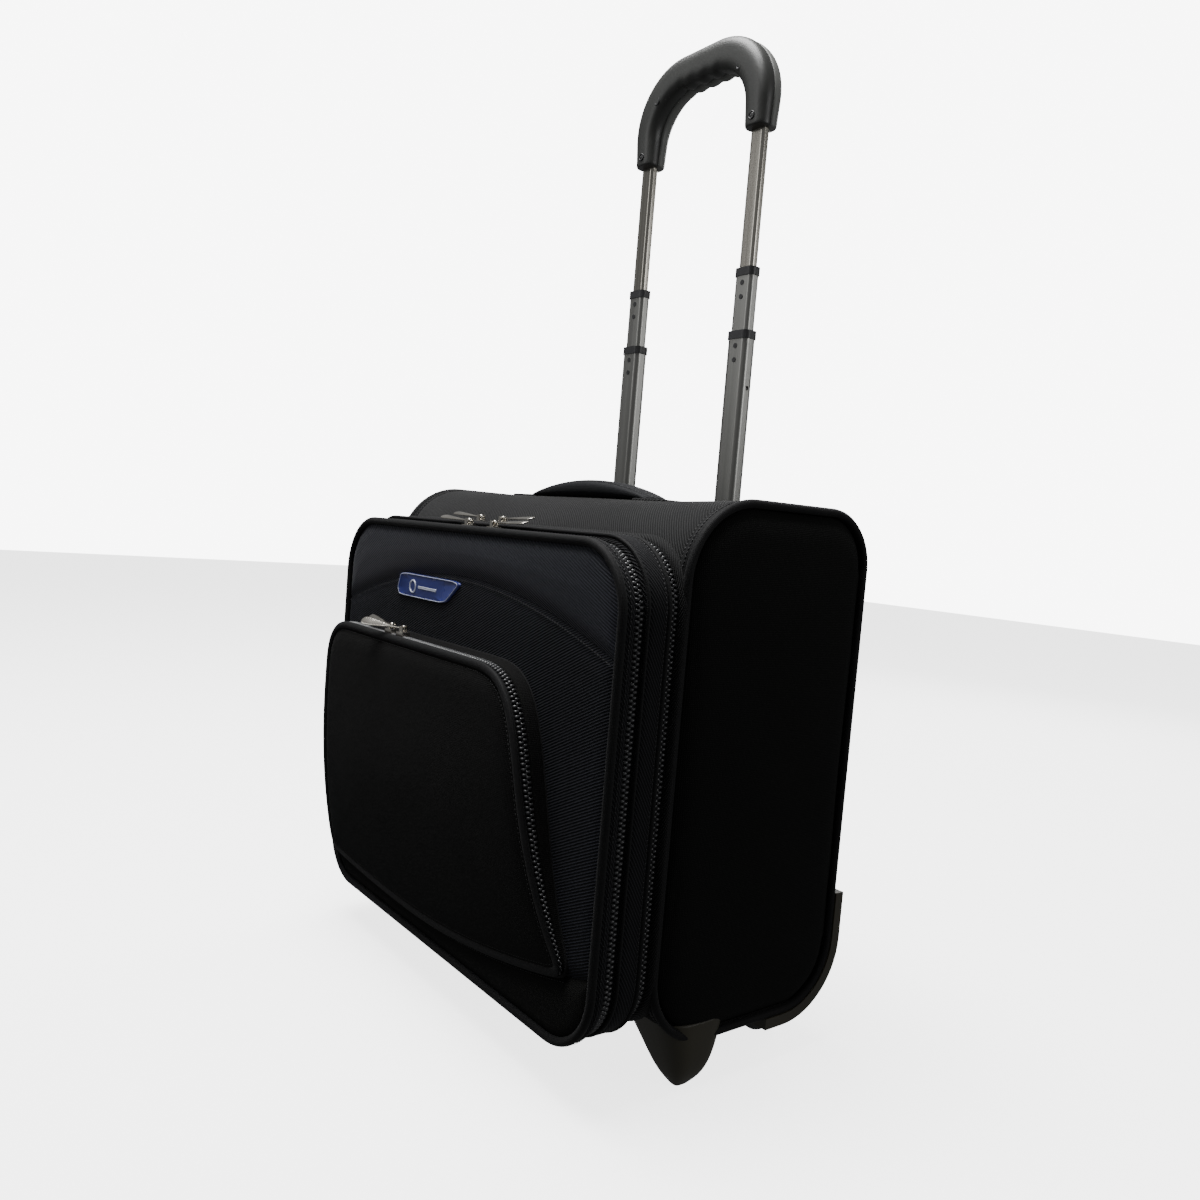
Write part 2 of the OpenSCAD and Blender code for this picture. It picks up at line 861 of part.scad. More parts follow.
module whole_grip() {
    difference() {
        grip_path(grip_bottom) rounded(grip_w, grip_t, grip_r);
        grip_path(grip_corner_z - 8) square([cavity_w, cavity_t], center = true);
        at_poles() post(stage_3_w, stage_3_t, stage_3_r, grip_bottom - 1, stage_3_top);
        at_poles() post(stage_3_w - 2 * tube_wall, stage_3_t - 2 * tube_wall,
            stage_3_r - tube_wall, stage_3_top - 1, grip_corner_z);
        translate([0, pole_y, 0]) post(button_w + 2 * button_gap,
            button_t + 2 * button_gap, 4, grip_mid_z, grip_mid_z + grip_w);
        for (i = [-1.5:1:1.5])
            translate([i * scallop_pitch, pole_y,
                grip_mid_z - grip_w / 2 - scallop_r + scallop_cut])
                bar_y(scallop_r, -grip_t, grip_t);
        grip_screw_holes();
    }
}

module grip_front() {
    placed() color("#17181a") difference() {
        whole_grip();
        block([-2 * pole_span, pole_y, 0], [2 * pole_span, pole_y + grip_t, 2 * grip_bottom]);
    }
}

module grip_back() {
    placed() color("#1e1f21") difference() {
        whole_grip();
        block([-2 * pole_span, pole_y - grip_t, 0], [2 * pole_span, pole_y, 2 * grip_bottom]);
    }
}

module grip_screws() {
    placed() color("#303133") at_grip_screws() {
        bar_y(screw_r, -grip_t / 2 + 3, grip_t / 2 - 6.5);
        bar_y(screw_head_r, -grip_t / 2 + 1, -grip_t / 2 + 3.2);
    }
}

spring_low = grip_mid_z - cavity_w / 2;
spring_high = grip_mid_z + yoke_in;

// Coil swept as one many-sided tube along a helix
module coil(r, wire, turns, low, high) {
    around = 6;
    per_turn = 16;
    rings = turns * per_turn;
    points = [for (i = [0:rings], j = [0:around - 1])
        let (a = 360 * i / per_turn, b = 360 * j / around,
            z = low + wire + (high - low - 2 * wire) * i / rings,
            rr = r + wire * cos(b))
        [rr * cos(a), rr * sin(a), z + wire * sin(b)]];
    sides = [for (i = [0:rings - 1], j = [0:around - 1])
        let (k = (j + 1) % around)
        [i * around + j, (i + 1) * around + j, (i + 1) * around + k, i * around + k]];
    first = [[for (j = [0:around - 1]) j]];
    last = [[for (j = [around - 1:-1:0]) rings * around + j]];
    polyhedron(points, concat(sides, first, last), convexity = 6);
}

module button_spring() {
    placed() color("#a9abae") translate([0, pole_y, 0])
        coil(spring_r, spring_wire / 2, spring_turns, spring_low, spring_high);
}

module push_button() {
    placed() color("#3a3c3f") translate([0, pole_y, 0])
        post(button_w, button_t, 4 - button_gap,
            grip_mid_z + yoke_out, grip_mid_z + grip_w / 2 + 1.5);
}

module release_yoke() {
    placed() color("#c9cacc") {
        grip_path(stage_3_top - 4) translate([(yoke_in + yoke_out) / 2, 0])
            square([yoke_out - yoke_in, yoke_t], center = true);
        rod_low = stage_3_low + bush_plug + button_travel + foot_play;
        both_sides() translate([rod_x, pole_y, rod_low])
            cylinder(r = rod_r, h = stage_3_top - 4 - rod_low);
    }
}

// ---- Front box, lid and pocket ----

module front_band() {
    half = half_w - 1;
    low = lid_bottom + 1;
    high = lid_top + band_rise;
    placed() color("#17181b") front_ring(front_outline(half, low, high, lid_r),
        front_outline(half - main_zip_inset - wall_t, low + main_zip_inset + wall_t,
            high - main_zip_inset - wall_t, lid_r - main_zip_inset - wall_t),
        band_y, main_zip_y - zip_gap);
}

module lid_zip() {
    placed() color("#26272a") zip_ring(half_w - lid_zip_inset,
        lid_bottom + lid_zip_inset, lid_zip_top, lid_r - lid_zip_inset,
        lid_zip_y, band_y);
}

divider_t = 2.5;
module divider_panel() {
    half = half_w - 1 - main_zip_inset - wall_t;
    placed() color("#2b2c30") through(front_outline(half, lid_bottom + 10,
        lid_top + band_rise - main_zip_inset - wall_t, lid_r - 9),
        main_zip_y - zip_gap - divider_t, main_zip_y - zip_gap);
}

module lid_rim() {
    placed() color("#141518") front_ring(front_outline(half_w, lid_bottom, lid_top, lid_r),
        front_outline(half_w - lid_zip_inset - wall_t, lid_bottom + lid_zip_inset + wall_t,
            lid_top - lid_zip_inset - wall_t, lid_r - lid_zip_inset - wall_t),
        lid_y, lid_zip_y - zip_gap);
}

module lid_panel() {
    inset = lid_zip_inset + wall_t;
    placed() color("#1a1b1f") through(front_outline(half_w - inset,
        lid_bottom + inset, lid_top - inset, lid_r - inset), lid_y, lid_y + wall_t);
}

badge_t = 1.6;
badge_points = [[-99, -45], [10, -45], [-15, -65], [-100, -65], [-104, -59]];
module badge() {
    placed() color("#23348f") translate([0, 0, lid_top])
        through(badge_points, lid_y - badge_t, lid_y);
}

module pocket_gusset() {
    placed() color("#131416") front_ring(pocket_outline(), pocket_outline(wall_t + 1),
        pocket_zip_y + zip_gap + pocket_zip_w, lid_y);
}

module pocket_zip() {
    placed() color("#26272a") front_ring(pocket_outline(pocket_zip_inset),
        pocket_outline(pocket_zip_inset + tape_t),
        pocket_zip_y + zip_gap, pocket_zip_y + zip_gap + pocket_zip_w);
}

module pocket_panel() {
    placed() color("#121315") through(pocket_outline(), pocket_y, pocket_zip_y);
}

// ---- Zip sliders and pulls ----

// Slider body with its underside at the origin; its two ears and its crossbar
// are turned with the pull
module slider(turn = 0) {
    ear_y = eye_w / 2 + ear_gap;
    block([-slider_l / 2, -slider_w / 2, 0], [slider_l / 2, slider_w / 2, slider_base_h]);
    rotate([0, 0, turn]) {
        for (side = [-1, 1]) translate([0, side * (ear_y + ear_t / 2), 0])
            block([-ear_half, -ear_t / 2, slider_base_h],
                [ear_half, ear_t / 2, pin_h + ear_over]);
        translate([0, 0, pin_h]) bar_y(crossbar_r, -ear_y - ear_t, ear_y + ear_t);
    }
}

// Teardrop pull lying along +X from its eye on the crossbar
module pull() {
    translate([0, 0, pin_h]) difference() {
        union() {
            bar_y(eye_r, -eye_w / 2, eye_w / 2);
            translate([0, 0, -pull_t / 2]) linear_extrude(pull_t) {
                hull() {
                    translate([1.7, 0]) circle(1.6, $fn = 32);
                    translate([14, 0]) circle(2, $fn = 32);
                }
                hull() {
                    translate([14, 0]) circle(2, $fn = 32);
                    translate([pull_l, 0]) circle(pull_end_r, $fn = 32);
                }
            }
        }
        bar_y(crossbar_r + pull_clearance, -eye_w, eye_w);
    }
}

// Children on a zip: at x, above the tape, turned about the upright
module on_zip(x, y, tape_z, turn) {
    placed() color("#b9b7b2") translate([x, y, tape_z + zip_gap])
        rotate([0, 0, turn]) children();
}

main_mid_y = (main_zip_y + frame_y) / 2;
lid_mid_y = (lid_zip_y + band_y) / 2;

module main_left_slider() { on_zip(main_left_x, main_mid_y, main_zip_top, 180) slider(); }
module main_left_pull() { on_zip(main_left_x, main_mid_y, main_zip_top, 180) pull(); }
module main_right_slider() { on_zip(main_right_x, main_mid_y, main_zip_top, 0) slider(); }
module main_right_pull() { on_zip(main_right_x, main_mid_y, main_zip_top, 0) pull(); }
module lid_left_slider() { on_zip(lid_left_x, lid_mid_y, lid_zip_top, 180) slider(); }
module lid_left_pull() { on_zip(lid_left_x, lid_mid_y, lid_zip_top, 180) pull(); }
module lid_right_slider() { on_zip(lid_right_x, lid_mid_y, lid_zip_top, 0) slider(); }
module lid_right_pull() { on_zip(lid_right_x, lid_mid_y, lid_zip_top, 0) pull(); }
module pocket_left_slider() {
    on_zip(pocket_left_x, pocket_zip_mid, pocket_zip_top, 180) slider();
}
module pocket_left_pull() {
    on_zip(pocket_left_x, pocket_zip_mid, pocket_zip_top, 180) pull();
}
module pocket_right_slider() {
    on_zip(pocket_right_x, pocket_zip_mid, pocket_zip_top, 180)
        slider(pocket_pull_turn);
}
module pocket_right_pull() {
    on_zip(pocket_right_x, pocket_zip_mid, pocket_zip_top, 180 + pocket_pull_turn) pull();
}

left_side_panel();
right_side_panel();
top_panel();
back_panel();
bottom_panel();
side_piping();
opening_frame();
main_zip();
wire_frame();
back_board();
trolley_cover();
laptop_sleeve();
corner_guards();
front_feet();
wheel_axles();
base_screws();
trolley_bezel();
base_tubes();
tube_socket();
carry_handle();
stage_1_tubes();
stage_1_collars();
stage_1_bushes();
stage_2_tubes();
stage_2_collars();
stage_2_bushes();
stage_3_tubes();
stage_3_bushes();
grip_front();
grip_back();
grip_screws();
button_spring();
push_button();
release_yoke();
left_hub();
left_tyre();
right_hub();
right_tyre();
front_band();
lid_zip();
divider_panel();
lid_rim();
lid_panel();
badge();
pocket_gusset();
pocket_zip();
pocket_panel();
main_left_slider();
main_left_pull();
main_right_slider();
main_right_pull();
lid_left_slider();
lid_left_pull();
lid_right_slider();
lid_right_pull();
pocket_left_slider();
pocket_left_pull();
pocket_right_slider();
pocket_right_pull();
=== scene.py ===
"""Looks of the rolling pilot case: sewn fabric, zips, trolley handle and wheels.

Everything is in metres in the part's own frame: +Z up, the front faces -Y.
Sizes are worked out from the boxes of the frame's nodes.
"""
import json
import math

import bmesh
import bpy
import numpy as np
from mathutils import Matrix, Vector


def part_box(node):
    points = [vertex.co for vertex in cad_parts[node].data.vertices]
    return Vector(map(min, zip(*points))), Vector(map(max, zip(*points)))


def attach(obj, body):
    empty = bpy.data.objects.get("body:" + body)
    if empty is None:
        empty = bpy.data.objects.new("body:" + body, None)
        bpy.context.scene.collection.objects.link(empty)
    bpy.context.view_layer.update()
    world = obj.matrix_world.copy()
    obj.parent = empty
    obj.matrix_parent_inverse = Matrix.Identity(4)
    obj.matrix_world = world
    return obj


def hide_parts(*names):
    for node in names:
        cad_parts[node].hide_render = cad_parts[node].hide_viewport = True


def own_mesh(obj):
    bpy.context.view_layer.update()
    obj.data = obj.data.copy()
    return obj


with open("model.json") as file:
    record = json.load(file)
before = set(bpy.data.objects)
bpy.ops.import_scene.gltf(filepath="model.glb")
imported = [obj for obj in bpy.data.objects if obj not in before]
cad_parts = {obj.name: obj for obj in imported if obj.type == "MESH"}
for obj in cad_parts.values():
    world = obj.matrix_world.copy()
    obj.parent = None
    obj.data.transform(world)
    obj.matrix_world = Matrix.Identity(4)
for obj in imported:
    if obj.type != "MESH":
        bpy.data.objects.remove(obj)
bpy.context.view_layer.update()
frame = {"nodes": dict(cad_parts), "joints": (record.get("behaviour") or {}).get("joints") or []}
scene = bpy.context.scene


# ---- Places taken from the frame ----

def span(node):
    """Lowest and highest corner of a node."""
    low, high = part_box(node)
    return np.array(low), np.array(high)


body_low, body_high = span("side_piping")
half_width = body_high[0]
front_y, back_y = body_low[1], body_high[1]
base_z, top_z = body_low[2], body_high[2]
side_radii = (0.055, 0.050, 0.044, 0.060)
lid_low, lid_high = span("lid_rim")
lid_radius = 0.050
pocket_low_corner, pocket_high_corner = span("pocket_panel")
gusset_low, gusset_high = span("pocket_gusset")
grip_low, grip_high = span("grip_front")
bezel_low, bezel_high = span("trolley_bezel")


# ---- Camera, light and floor ----

def add_camera():
    """Camera near the right front corner, slightly above the middle, tilted a little."""
    turn, down, roll = math.radians(52.33), math.radians(4.0), math.radians(4.66)
    ahead = Vector((-math.sin(turn) * math.cos(down),
                    math.cos(turn) * math.cos(down), -math.sin(down)))
    right = Vector((math.cos(turn), math.sin(turn), 0))
    up = right.cross(ahead)
    right_rolled = right * math.cos(roll) + up * math.sin(roll)
    up_rolled = up * math.cos(roll) - right * math.sin(roll)
    data = bpy.data.cameras.new("camera")
    data.lens = 30
    data.sensor_width = 36
    camera = bpy.data.objects.new("camera", data)
    turned = Matrix((right_rolled, up_rolled, -ahead)).transposed().to_4x4()
    camera.matrix_world = Matrix.Translation((0.7064, -0.5061, 0.3956)) @ turned
    scene.collection.objects.link(camera)
    scene.camera = camera


def add_area_light(name, place, target, size, power, colour=(1, 1, 1)):
    """Square soft light at a place, pointed at a target."""
    data = bpy.data.lights.new(name, "AREA")
    data.shape = "SQUARE"
    data.size = size
    data.energy = power
    data.color = colour
    light = bpy.data.objects.new(name, data)
    aim = Vector(target) - Vector(place)
    light.matrix_world = Matrix.Translation(place) @ aim.to_track_quat("-Z", "Y").to_matrix().to_4x4()
    scene.collection.objects.link(light)


def add_surroundings():
    """Surroundings that look white and light the case weakly, and a pale glowing floor that
    adds no light to it."""
    world = bpy.data.worlds.new("surroundings")
    scene.world = world
    world.use_nodes = True
    nodes, links = world.node_tree.nodes, world.node_tree.links
    nodes.clear()
    seen = nodes.new("ShaderNodeBackground")
    seen.inputs["Color"].default_value = (1, 1, 1, 1)
    seen.inputs["Strength"].default_value = 8.0
    ambient = nodes.new("ShaderNodeBackground")
    ambient.inputs["Color"].default_value = (0.98, 0.99, 1, 1)
    ambient.inputs["Strength"].default_value = 0.20
    path = nodes.new("ShaderNodeLightPath")
    mix = nodes.new("ShaderNodeMixShader")
    out = nodes.new("ShaderNodeOutputWorld")
    links.new(path.outputs["Is Camera Ray"], mix.inputs[0])
    links.new(ambient.outputs[0], mix.inputs[1])
    links.new(seen.outputs[0], mix.inputs[2])
    links.new(mix.outputs[0], out.inputs["Surface"])
    mesh = bpy.data.meshes.new("floor")
    reach = 6.0
    mesh.from_pydata([(-reach, -reach, 0), (reach, -reach, 0), (reach, reach, 0),
                      (-reach, reach, 0)], [], [(0, 1, 2, 3)])
    floor = bpy.data.objects.new("floor", mesh)
    scene.collection.objects.link(floor)
    material = bpy.data.materials.new("pale_floor")
    material.use_nodes = True
    shader = material.node_tree.nodes["Principled BSDF"]
    shader.inputs["Base Color"].default_value = (0.95, 0.95, 0.95, 1)
    shader.inputs["Roughness"].default_value = 0.9
    shader.inputs["Emission Color"].default_value = (1, 1, 1, 1)
    shader.inputs["Emission Strength"].default_value = 3.0
    mesh.materials.append(material)
    floor.visible_diffuse = False
    floor.visible_glossy = False


add_camera()
add_surroundings()
add_area_light("overhead", (-0.25, -0.35, 2.3), (0, 0, 0.4), 1.3, 110)
add_area_light("front", (-1.1, -1.9, 1.3), (0, 0, 0.3), 0.9, 6)
add_area_light("edge", (1.6, 0.9, 0.9), (0, 0, 0.6), 0.7, 7)
add_area_light("back", (-0.7, 2.1, 1.3), (0, 0, 0.3), 1.0, 26)


# ---- Finishes ----

def new_finish(name, colour, roughness, **constants):
    """Material with its shader's own constants set; returns it with its nodes."""
    material = bpy.data.materials.new(name)
    material.use_nodes = True
    shader = material.node_tree.nodes["Principled BSDF"]
    shader.inputs["Base Color"].default_value = (*colour, 1)
    shader.inputs["Roughness"].default_value = roughness
    for key, value in constants.items():
        shader.inputs[key.replace("_", " ")].default_value = value
    return material, shader


def math_node(material, operation, first, second=None):
    """One Math node; each input is a number or another node's output."""
    node = material.node_tree.nodes.new("ShaderNodeMath")
    node.operation = operation
    for socket, value in zip(node.inputs, (first, second)):
        if value is None:
            continue
        if isinstance(value, (int, float)):
            socket.default_value = value
        else:
            material.node_tree.links.new(value, socket)
    return node.outputs[0]


def noise(material, scale, detail=3, coordinates="Object"):
    """Soft noise in the piece's own coordinates."""
    nodes, links = material.node_tree.nodes, material.node_tree.links
    place = nodes.new("ShaderNodeTexCoord")
    node = nodes.new("ShaderNodeTexNoise")
    node.inputs["Scale"].default_value = scale
    node.inputs["Detail"].default_value = detail
    links.new(place.outputs[coordinates], node.inputs["Vector"])
    return node.outputs["Fac"]


def tint(material, shader, factor, dark, light):
    """Base colour that runs from dark to light with a factor."""
    node = material.node_tree.nodes.new("ShaderNodeMix")
    node.data_type = "RGBA"
    node.inputs["A"].default_value = (*dark, 1)
    node.inputs["B"].default_value = (*light, 1)
    material.node_tree.links.new(factor, node.inputs["Factor"])
    material.node_tree.links.new(node.outputs["Result"], shader.inputs["Base Color"])


def raise_surface(material, shader, height, depth, strength=1.0):
    """Bump of a given depth in metres."""
    node = material.node_tree.nodes.new("ShaderNodeBump")
    node.inputs["Distance"].default_value = depth
    node.inputs["Strength"].default_value = strength
    material.node_tree.links.new(height, node.inputs["Height"])
    material.node_tree.links.new(node.outputs["Normal"], shader.inputs["Normal"])


def yarn_axes(material, pitch, turn):
    """The piece's own UV in yarn pitches, turned by an angle: two outputs."""
    nodes, links = material.node_tree.nodes, material.node_tree.links
    place = nodes.new("ShaderNodeTexCoord")
    mapping = nodes.new("ShaderNodeMapping")
    mapping.inputs["Rotation"].default_value = (0, 0, math.radians(turn))
    mapping.inputs["Scale"].default_value = (1 / pitch, 1 / pitch, 1)
    split = nodes.new("ShaderNodeSeparateXYZ")
    links.new(place.outputs["UV"], mapping.inputs["Vector"])
    links.new(mapping.outputs["Vector"], split.inputs["Vector"])
    return split.outputs["X"], split.outputs["Y"]


def ripple(material, value):
    """Sine of a value in pitches, from 0 to 1."""
    wave = math_node(material, "SINE", math_node(material, "MULTIPLY", value, math.tau))
    return math_node(material, "MULTIPLY_ADD", wave, 0.5)


def twill(name, dark, light, pitch, turn, depth, sheen=0.02, roughness=0.75):
    """Diagonal ribs crossed by finer yarns, with slight wear in broad patches."""
    material, shader = new_finish(name, dark, roughness, Specular_IOR_Level=0.12,
                                  Sheen_Weight=sheen, Sheen_Roughness=0.45)
    along, across = yarn_axes(material, pitch, turn)
    rib = math_node(material, "POWER", ripple(material, along), 1.5)
    yarn = ripple(material, math_node(material, "MULTIPLY", across, 1.6))
    weave = math_node(material, "MULTIPLY", yarn, 0.15)
    height = math_node(material, "ADD", rib, weave)
    patch = noise(material, 9.0)
    shade = math_node(material, "MULTIPLY", height, math_node(material, "ADD", patch, 0.15))
    tint(material, shader, shade, dark, light)
    raise_surface(material, shader, height, depth)
    return material


def plain_weave(name, dark, light, pitch, depth, sheen=0.01, roughness=0.85):
    """Square over-and-under weave: the product of two yarn waves."""
    material, shader = new_finish(name, dark, roughness, Specular_IOR_Level=0.10,
                                  Sheen_Weight=sheen, Sheen_Roughness=0.5)
    along, across = yarn_axes(material, pitch, 0)
    height = math_node(material, "MULTIPLY", ripple(material, along), ripple(material, across))
    shade = math_node(material, "MULTIPLY", height,
                      math_node(material, "ADD", noise(material, 7.0), 0.3))
    tint(material, shader, shade, dark, light)
    raise_surface(material, shader, height, depth)
    return material


def moulded(name, dark, light, grain, depth, roughness=0.45, specular=0.4):
    """Moulded plastic with a fine pebble grain and broad handling marks."""
    material, shader = new_finish(name, dark, roughness, Specular_IOR_Level=specular)
    pebbles = noise(material, grain, 2)
    marks = noise(material, 14.0, 4)
    tint(material, shader, marks, dark, light)
    raise_surface(material, shader, pebbles, depth)
    rough = math_node(material, "MULTIPLY_ADD", marks, 0.2)
    rough.node.inputs[2].default_value = roughness - 0.1
    material.node_tree.links.new(rough, shader.inputs["Roughness"])
    return material


def drawn_metal(name, dark, light, roughness, stretch=(600, 600, 6), depth=0.00002,
                metallic=1.0):
    """Metal with marks drawn out along one axis."""
    material, shader = new_finish(name, dark, roughness, Metallic=metallic)
    nodes, links = material.node_tree.nodes, material.node_tree.links
    place = nodes.new("ShaderNodeTexCoord")
    mapping = nodes.new("ShaderNodeMapping")
    mapping.inputs["Scale"].default_value = stretch
    streaks = nodes.new("ShaderNodeTexNoise")
    streaks.inputs["Scale"].default_value = 1.0
    streaks.inputs["Detail"].default_value = 2.0
    links.new(place.outputs["Object"], mapping.inputs["Vector"])
    links.new(mapping.outputs["Vector"], streaks.inputs["Vector"])
    tint(material, shader, streaks.outputs["Fac"], dark, light)
    raise_surface(material, shader, streaks.outputs["Fac"], depth)
    rough = math_node(material, "MULTIPLY_ADD", streaks.outputs["Fac"], 0.15)
    rough.node.inputs[2].default_value = roughness - 0.07
    links.new(rough, shader.inputs["Roughness"])
    return material


lid_twill = twill("lid_twill", (0.0004, 0.0005, 0.0008), (0.0150, 0.0162, 0.0235), 0.0020, 64,
                  0.0005)
arch_satin = twill("arch_satin", (0.0036, 0.0040, 0.0070), (0.0220, 0.0235, 0.0340), 0.0020, -63,
                   0.0003, sheen=0.09, roughness=0.6)
body_twill = twill("body_twill", (0.0018, 0.0018, 0.0020), (0.0300, 0.0300, 0.0305), 0.0020, 52,
                   0.0005)
band_twill = twill("band_twill", (0.0012, 0.0012, 0.0015), (0.0150, 0.0150, 0.0178), 0.0020, 60,
                   0.0004)
side_cloth = plain_weave("side_cloth", (0.0014, 0.0015, 0.0014), (0.0068, 0.0070, 0.0066), 0.0013,
                         0.0003)
pocket_cloth = plain_weave("pocket_cloth", (0.0014, 0.0014, 0.0013), (0.0070, 0.0070, 0.0066), 0.0013,
                           0.0003)
kick_cloth = plain_weave("kick_cloth", (0.0016, 0.0016, 0.0014), (0.0080, 0.0078, 0.0070), 0.0013,
                         0.0003)
piping_cloth = plain_weave("piping_cloth", (0.0036, 0.0036, 0.0039), (0.0144, 0.0144, 0.0152), 0.0009,
                           0.0001, sheen=0.03, roughness=0.65)
tape_cloth = plain_weave("tape_cloth", (0.0024, 0.0024, 0.0028), (0.0088, 0.0088, 0.0096), 0.0008,
                         0.0001)
lining_cloth = plain_weave("lining_cloth", (0.045, 0.047, 0.052), (0.10, 0.104, 0.115), 0.0009,
                           0.00008, roughness=0.7)
coil_nylon = moulded("coil_nylon", (0.014, 0.014, 0.015), (0.040, 0.041, 0.043), 900, 0.00001,
                     roughness=0.34, specular=0.5)
stitch_thread = moulded("stitch_thread", (0.005, 0.005, 0.0055), (0.012, 0.012, 0.013), 2500, 0.00003,
                        roughness=0.6, specular=0.3)
# Black plastic of the corner guards and front feet, tinted brown: the brown is a painted warm
# reflection from the floor.
guard_plastic_painted_reflection = moulded("guard_plastic_painted_reflection", (0.013, 0.0115, 0.0065), (0.034, 0.030, 0.017), 1400,
                        0.00006, roughness=0.5)
black_plastic = moulded("black_plastic", (0.010, 0.010, 0.011), (0.026, 0.026, 0.028), 1500,
                        0.00003, roughness=0.4)
grip_plastic = moulded("grip_plastic", (0.014, 0.0145, 0.0135), (0.034, 0.035, 0.032), 1800,
                       0.000035, roughness=0.42, specular=0.5)
# The grip's back shell is a lighter copy of the front shell's plastic: a painted highlight for the
# bright rim along the grip's back edge.
grip_back_painted_highlight = moulded("grip_back_painted_highlight", (0.09, 0.092, 0.086), (0.15, 0.153, 0.145), 1500,
                            0.00004, roughness=0.5)
tyre_rubber = moulded("tyre_rubber", (0.011, 0.011, 0.011), (0.03, 0.03, 0.03), 700, 0.00008,
                      roughness=0.75, specular=0.2)
stiff_board = moulded("stiff_board", (0.03, 0.03, 0.031), (0.06, 0.06, 0.062), 500, 0.00005,
                      roughness=0.8, specular=0.2)
grey_tube = drawn_metal("grey_tube", (0.20, 0.20, 0.19), (0.30, 0.30, 0.285), 0.36, (380, 380, 1.2),
                        0.000008)
bright_tube = drawn_metal("bright_tube", (0.24, 0.225, 0.20), (0.50, 0.48, 0.43), 0.22,
                          (380, 380, 1.2), 0.000008)
plated_steel = drawn_metal("plated_steel", (0.45, 0.45, 0.46), (0.65, 0.65, 0.66), 0.3,
                           (90, 90, 90))
nickel = drawn_metal("nickel", (0.52, 0.49, 0.44), (0.66, 0.63, 0.57), 0.22, (90, 90, 90),
                     0.000006)


# ---- Mesh building ----

def grid(points, wrap_u=False, wrap_v=False, uv=None, away_from=None):
    """Quads over a grid of points (rows u, columns v) with a UV in metres.

    The faces look away from a point; by default that is the mean of the points,
    which is right for anything closed.
    """
    rows, columns = points.shape[:2]
    if uv is None:
        ring = np.concatenate([points, points[:1]]) if wrap_u else points
        step_u = np.linalg.norm(np.diff(ring, axis=0), axis=2).mean(1)
        cross = np.concatenate([points, points[:, :1]], 1) if wrap_v else points
        step_v = np.linalg.norm(np.diff(cross, axis=1), axis=2).mean(0)
        length_u = np.concatenate([[0], np.cumsum(step_u)])
        length_v = np.concatenate([[0], np.cumsum(step_v)])
        uv = np.stack(np.meshgrid(length_u, length_v, indexing="ij"), -1)
    u = np.arange(rows if wrap_u else rows - 1)[:, None]
    v = np.arange(columns if wrap_v else columns - 1)[None, :]
    corner_u = np.stack(np.broadcast_arrays(u, u + 1, u + 1, u), -1) + 0 * v[..., None]
    corner_v = np.stack(np.broadcast_arrays(v, v, v + 1, v + 1), -1) + 0 * u[..., None]
    faces = ((corner_u % rows) * columns + corner_v % columns).reshape(-1, 4)
    face_uv = uv[corner_u, corner_v].reshape(-1, 4, 2)
    flat = points.reshape(-1, 3)
    centre = flat.mean(0) if away_from is None else np.asarray(away_from, float)
    corners = flat[faces]
    normal = np.cross(corners[:, 2] - corners[:, 0], corners[:, 3] - corners[:, 1])
    if (normal * (corners.mean(1) - centre)).sum() < 0:
        faces, face_uv = faces[:, ::-1], face_uv[:, ::-1]
    return flat, faces, face_uv


def piece(name, parts, finish, body, stands_for=(), sharp=None, merge=True, wall=0,
          inside=None):
    """Joins mesh parts into one object that rides on a body.

    A wall gives a sheet its thickness, behind its face; inside is that face's finish.
    """
    offsets = np.cumsum([0] + [len(part[0]) for part in parts[:-1]])
    points = np.concatenate([part[0] for part in parts])
    faces = np.concatenate([part[1] + offset for part, offset in zip(parts, offsets)])
    face_uv = np.concatenate([part[2] for part in parts])
    mesh = bpy.data.meshes.new(name)
    mesh.vertices.add(len(points))
    mesh.vertices.foreach_set("co", points.astype(np.float32).ravel())
    mesh.loops.add(faces.size)
    mesh.loops.foreach_set("vertex_index", faces.astype(np.int32).ravel())
    mesh.polygons.add(len(faces))
    mesh.polygons.foreach_set("loop_start", np.arange(len(faces), dtype=np.int32) * 4)
    layer = mesh.uv_layers.new(name="uv")
    layer.data.foreach_set("uv", face_uv.astype(np.float32).ravel())
    mesh.update(calc_edges=True)
    mesh.validate()
    if merge:
        work = bmesh.new()
        work.from_mesh(mesh)
        bmesh.ops.remove_doubles(work, verts=work.verts, dist=2e-6)
        work.to_mesh(mesh)
        work.free()
    mesh.polygons.foreach_set("use_smooth", np.ones(len(mesh.polygons), dtype=bool))
    if sharp:
        mesh.set_sharp_from_angle(angle=math.radians(sharp))
    mesh.materials.append(finish)
    obj = bpy.data.objects.new(name, mesh)
    scene.collection.objects.link(obj)
    if wall:
        solid = obj.modifiers.new("wall", "SOLIDIFY")
        solid.thickness = wall
        solid.offset = -1
        if inside:
            mesh.materials.append(inside)
            solid.material_offset = 1
    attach(obj, body)
    if stands_for:
        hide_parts(*stands_for)
    return obj


def arc(centre, radius, start, turn, steps):
    """Points on a circle round a centre, from a start angle through a turn in degrees."""
    angle = np.radians(start + turn * np.arange(steps + 1) / steps)
    return np.asarray(centre) + radius * np.stack([np.cos(angle), np.sin(angle)], 1)


